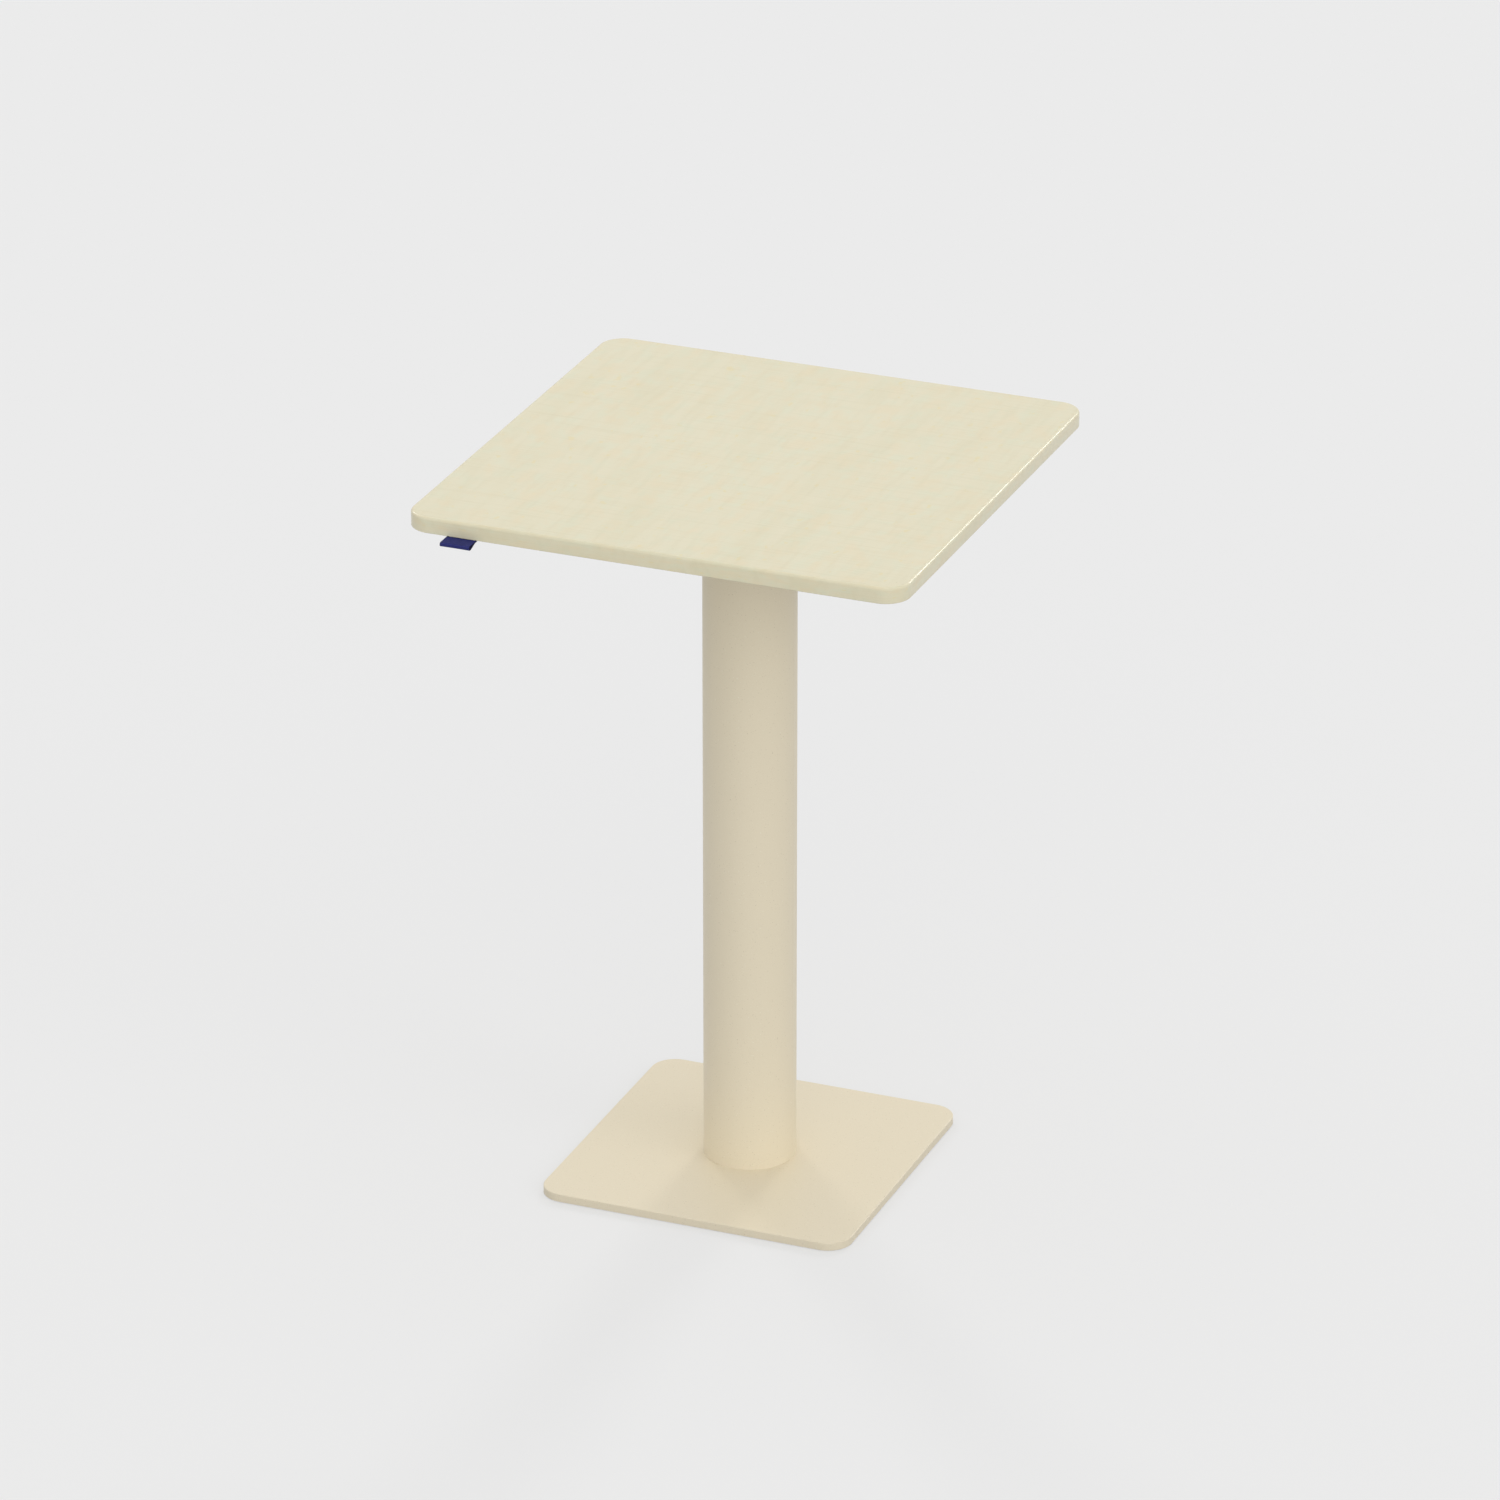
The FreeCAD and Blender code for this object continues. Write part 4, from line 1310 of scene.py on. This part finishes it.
@dataclass
class Studio:
    """Pale floor, soft light and the photograph's camera."""

    background: str = "#EBEBEB"
    paper: str = "#EDEDED"
    bounce: str = "#B2B2B2"  # the grey that the floor's light on the table comes from
    ambient: float = 0.702
    floor_side: float = 60.0
    floor_drop: float = 0.2 * MM
    backdrop_share: float = 0.62  # share of the floor's look that is the plain background
    azimuth: float = 21.94  # where the camera stands, as for a lamp
    elevation: float = 24.009
    distance: float = 8.0537
    aim_height: float = 0.43944
    lens_mm: float = 200.23
    sensor_mm: float = 36.0
    lamps: tuple[Softbox, ...] = (
        Softbox("front_softbox", 15, 18, 60, 0.458),
        Softbox("front_right_softbox", 45, 25, 64, 0.479),
        Softbox("right_softbox", 80, 28, 30, 0.266),
        Softbox("back_softbox", 181, 32, 12, 0.505),
        Softbox("back_left_softbox", 223, 32, 12, 0.369),
        Softbox("back_glint", 158, 24, 12, 0.28, Gives.GLINT),
        Softbox("left_low_glint", 241, 25, 14, 0.24, Gives.GLINT),
        Softbox("left_mid_glint", 248, 38, 14, 0.24, Gives.GLINT),
        Softbox("left_high_glint", 256, 50, 14, 0.18, Gives.GLINT),
    )

    def seen(self, tree: bpy.types.NodeTree) -> bpy.types.NodeSocket:
        """Tells what the camera sees, straight or in gloss and glass, from light that falls.

        Args:
            tree: A material's or the world's tree.

        Returns:
            1 for what is seen and 0 for light that falls.
        """
        path = add_node(tree, "ShaderNodeLightPath").outputs
        seen = path["Is Camera Ray"]
        for ray in ("Is Glossy Ray", "Is Transmission Ray"):
            either = add_node(tree, "ShaderNodeMath", {0: seen, 1: path[ray]}, operation="MAXIMUM")
            seen = either.outputs["Value"]
        return seen

    def paint_world(self) -> None:
        """Lights the room evenly and shows the background's colour."""
        world = bpy.data.worlds.new("studio")
        bpy.context.scene.world = world
        world.use_nodes = True
        tree = world.node_tree
        tree.nodes.clear()
        light = add_node(
            tree, "ShaderNodeBackground", {"Color": linear("#FFFFFF"), "Strength": self.ambient}
        )
        wall = add_node(tree, "ShaderNodeBackground", {"Color": linear(self.background)})
        mixed = add_node(
            tree, "ShaderNodeMixShader",
            {0: self.seen(tree), 1: light.outputs["Background"], 2: wall.outputs["Background"]},
        )
        add_node(tree, "ShaderNodeOutputWorld", {"Surface": mixed.outputs["Shader"]})

    def floor_paper(self) -> bpy.types.Material:
        """Makes the floor's grey paper, which shows the background's colour where no shadow falls.

        Returns:
            The paper's material.
        """
        made = bpy.data.materials.new("studio_paper")
        made.use_nodes = True
        tree = made.node_tree
        tree.nodes.clear()
        glow = [
            (shown - (1 - self.backdrop_share) * lit) / self.backdrop_share
            for shown, lit in zip(linear(self.background), linear(self.paper))
        ]
        seen = self.seen(tree)
        colour = add_node(
            tree, "ShaderNodeMix",
            {MIX_FACTOR: seen, MIX_FROM: linear(self.bounce), MIX_TO: linear(self.paper)},
            data_type="RGBA",
        )
        lit = add_node(tree, "ShaderNodeBsdfDiffuse", {"Color": colour.outputs[MIX_RESULT]})
        shown = add_node(tree, "ShaderNodeEmission", {"Color": glow})
        share = add_node(
            tree, "ShaderNodeMath", {0: seen, 1: self.backdrop_share}, operation="MULTIPLY"
        )
        mixed = add_node(
            tree, "ShaderNodeMixShader",
            {0: share.outputs["Value"], 1: lit.outputs["BSDF"], 2: shown.outputs["Emission"]},
        )
        add_node(tree, "ShaderNodeOutputMaterial", {"Surface": mixed.outputs["Shader"]})
        return made

    def lay_floor(self) -> bpy.types.Object:
        """Lays the floor just under the table.

        Returns:
            The floor.
        """
        half = self.floor_side / 2
        outline = ((-half, -half), (half, -half), (half, half), (-half, half))
        corners = [Vector((x, y, -self.floor_drop)) for x, y in outline]
        floor = new_piece("studio_floor", corners, [(0, 1, 2, 3)])
        floor.data.materials.append(self.floor_paper())
        return floor

    def set_camera(self) -> bpy.types.Object:
        """Sets the camera where the photograph was taken from.

        Returns:
            The camera.
        """
        data = bpy.data.cameras.new("photograph")
        data.lens = self.lens_mm
        data.sensor_width = self.sensor_mm
        camera = bpy.data.objects.new("photograph", data)
        bpy.context.scene.collection.objects.link(camera)
        back = direction(self.azimuth, self.elevation)
        camera.location = Vector((0, 0, self.aim_height)) + back * self.distance
        camera.rotation_euler = (-back).to_track_quat("-Z", "Y").to_euler()
        bpy.context.scene.camera = camera
        return camera

    def build(self) -> list[bpy.types.Object]:
        """Builds the whole studio.

        Returns:
            The floor, the camera and the lamps.
        """
        bpy.context.scene.view_settings.view_transform = "Standard"
        self.paint_world()
        return [self.lay_floor(), self.set_camera(), *(lamp.hang() for lamp in self.lamps)]


def dress_nodes() -> None:
    """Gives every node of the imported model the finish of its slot."""
    by_slot = {finish.slot: finish for finish in FINISHES}
    for row in frame["record"]["subparts"]:
        finish = by_slot[row["material_slot"]]
        frame["nodes"][row["node"]].material_slots[0].material = finish.material()
        LOG.info("dressed %s in %s", row["node"], finish.name)


def main() -> None:
    """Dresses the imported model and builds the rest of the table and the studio."""
    logging.basicConfig(level=logging.INFO, format="%(message)s")
    dress_nodes()
    for part in (Board(), RibbonTab(), Underframe(), ReleaseGrip(), Studio()):
        for piece in part.build():
            LOG.info("%s: %s", type(part).__name__, piece.name)


if __name__ == "__main__":
    main()
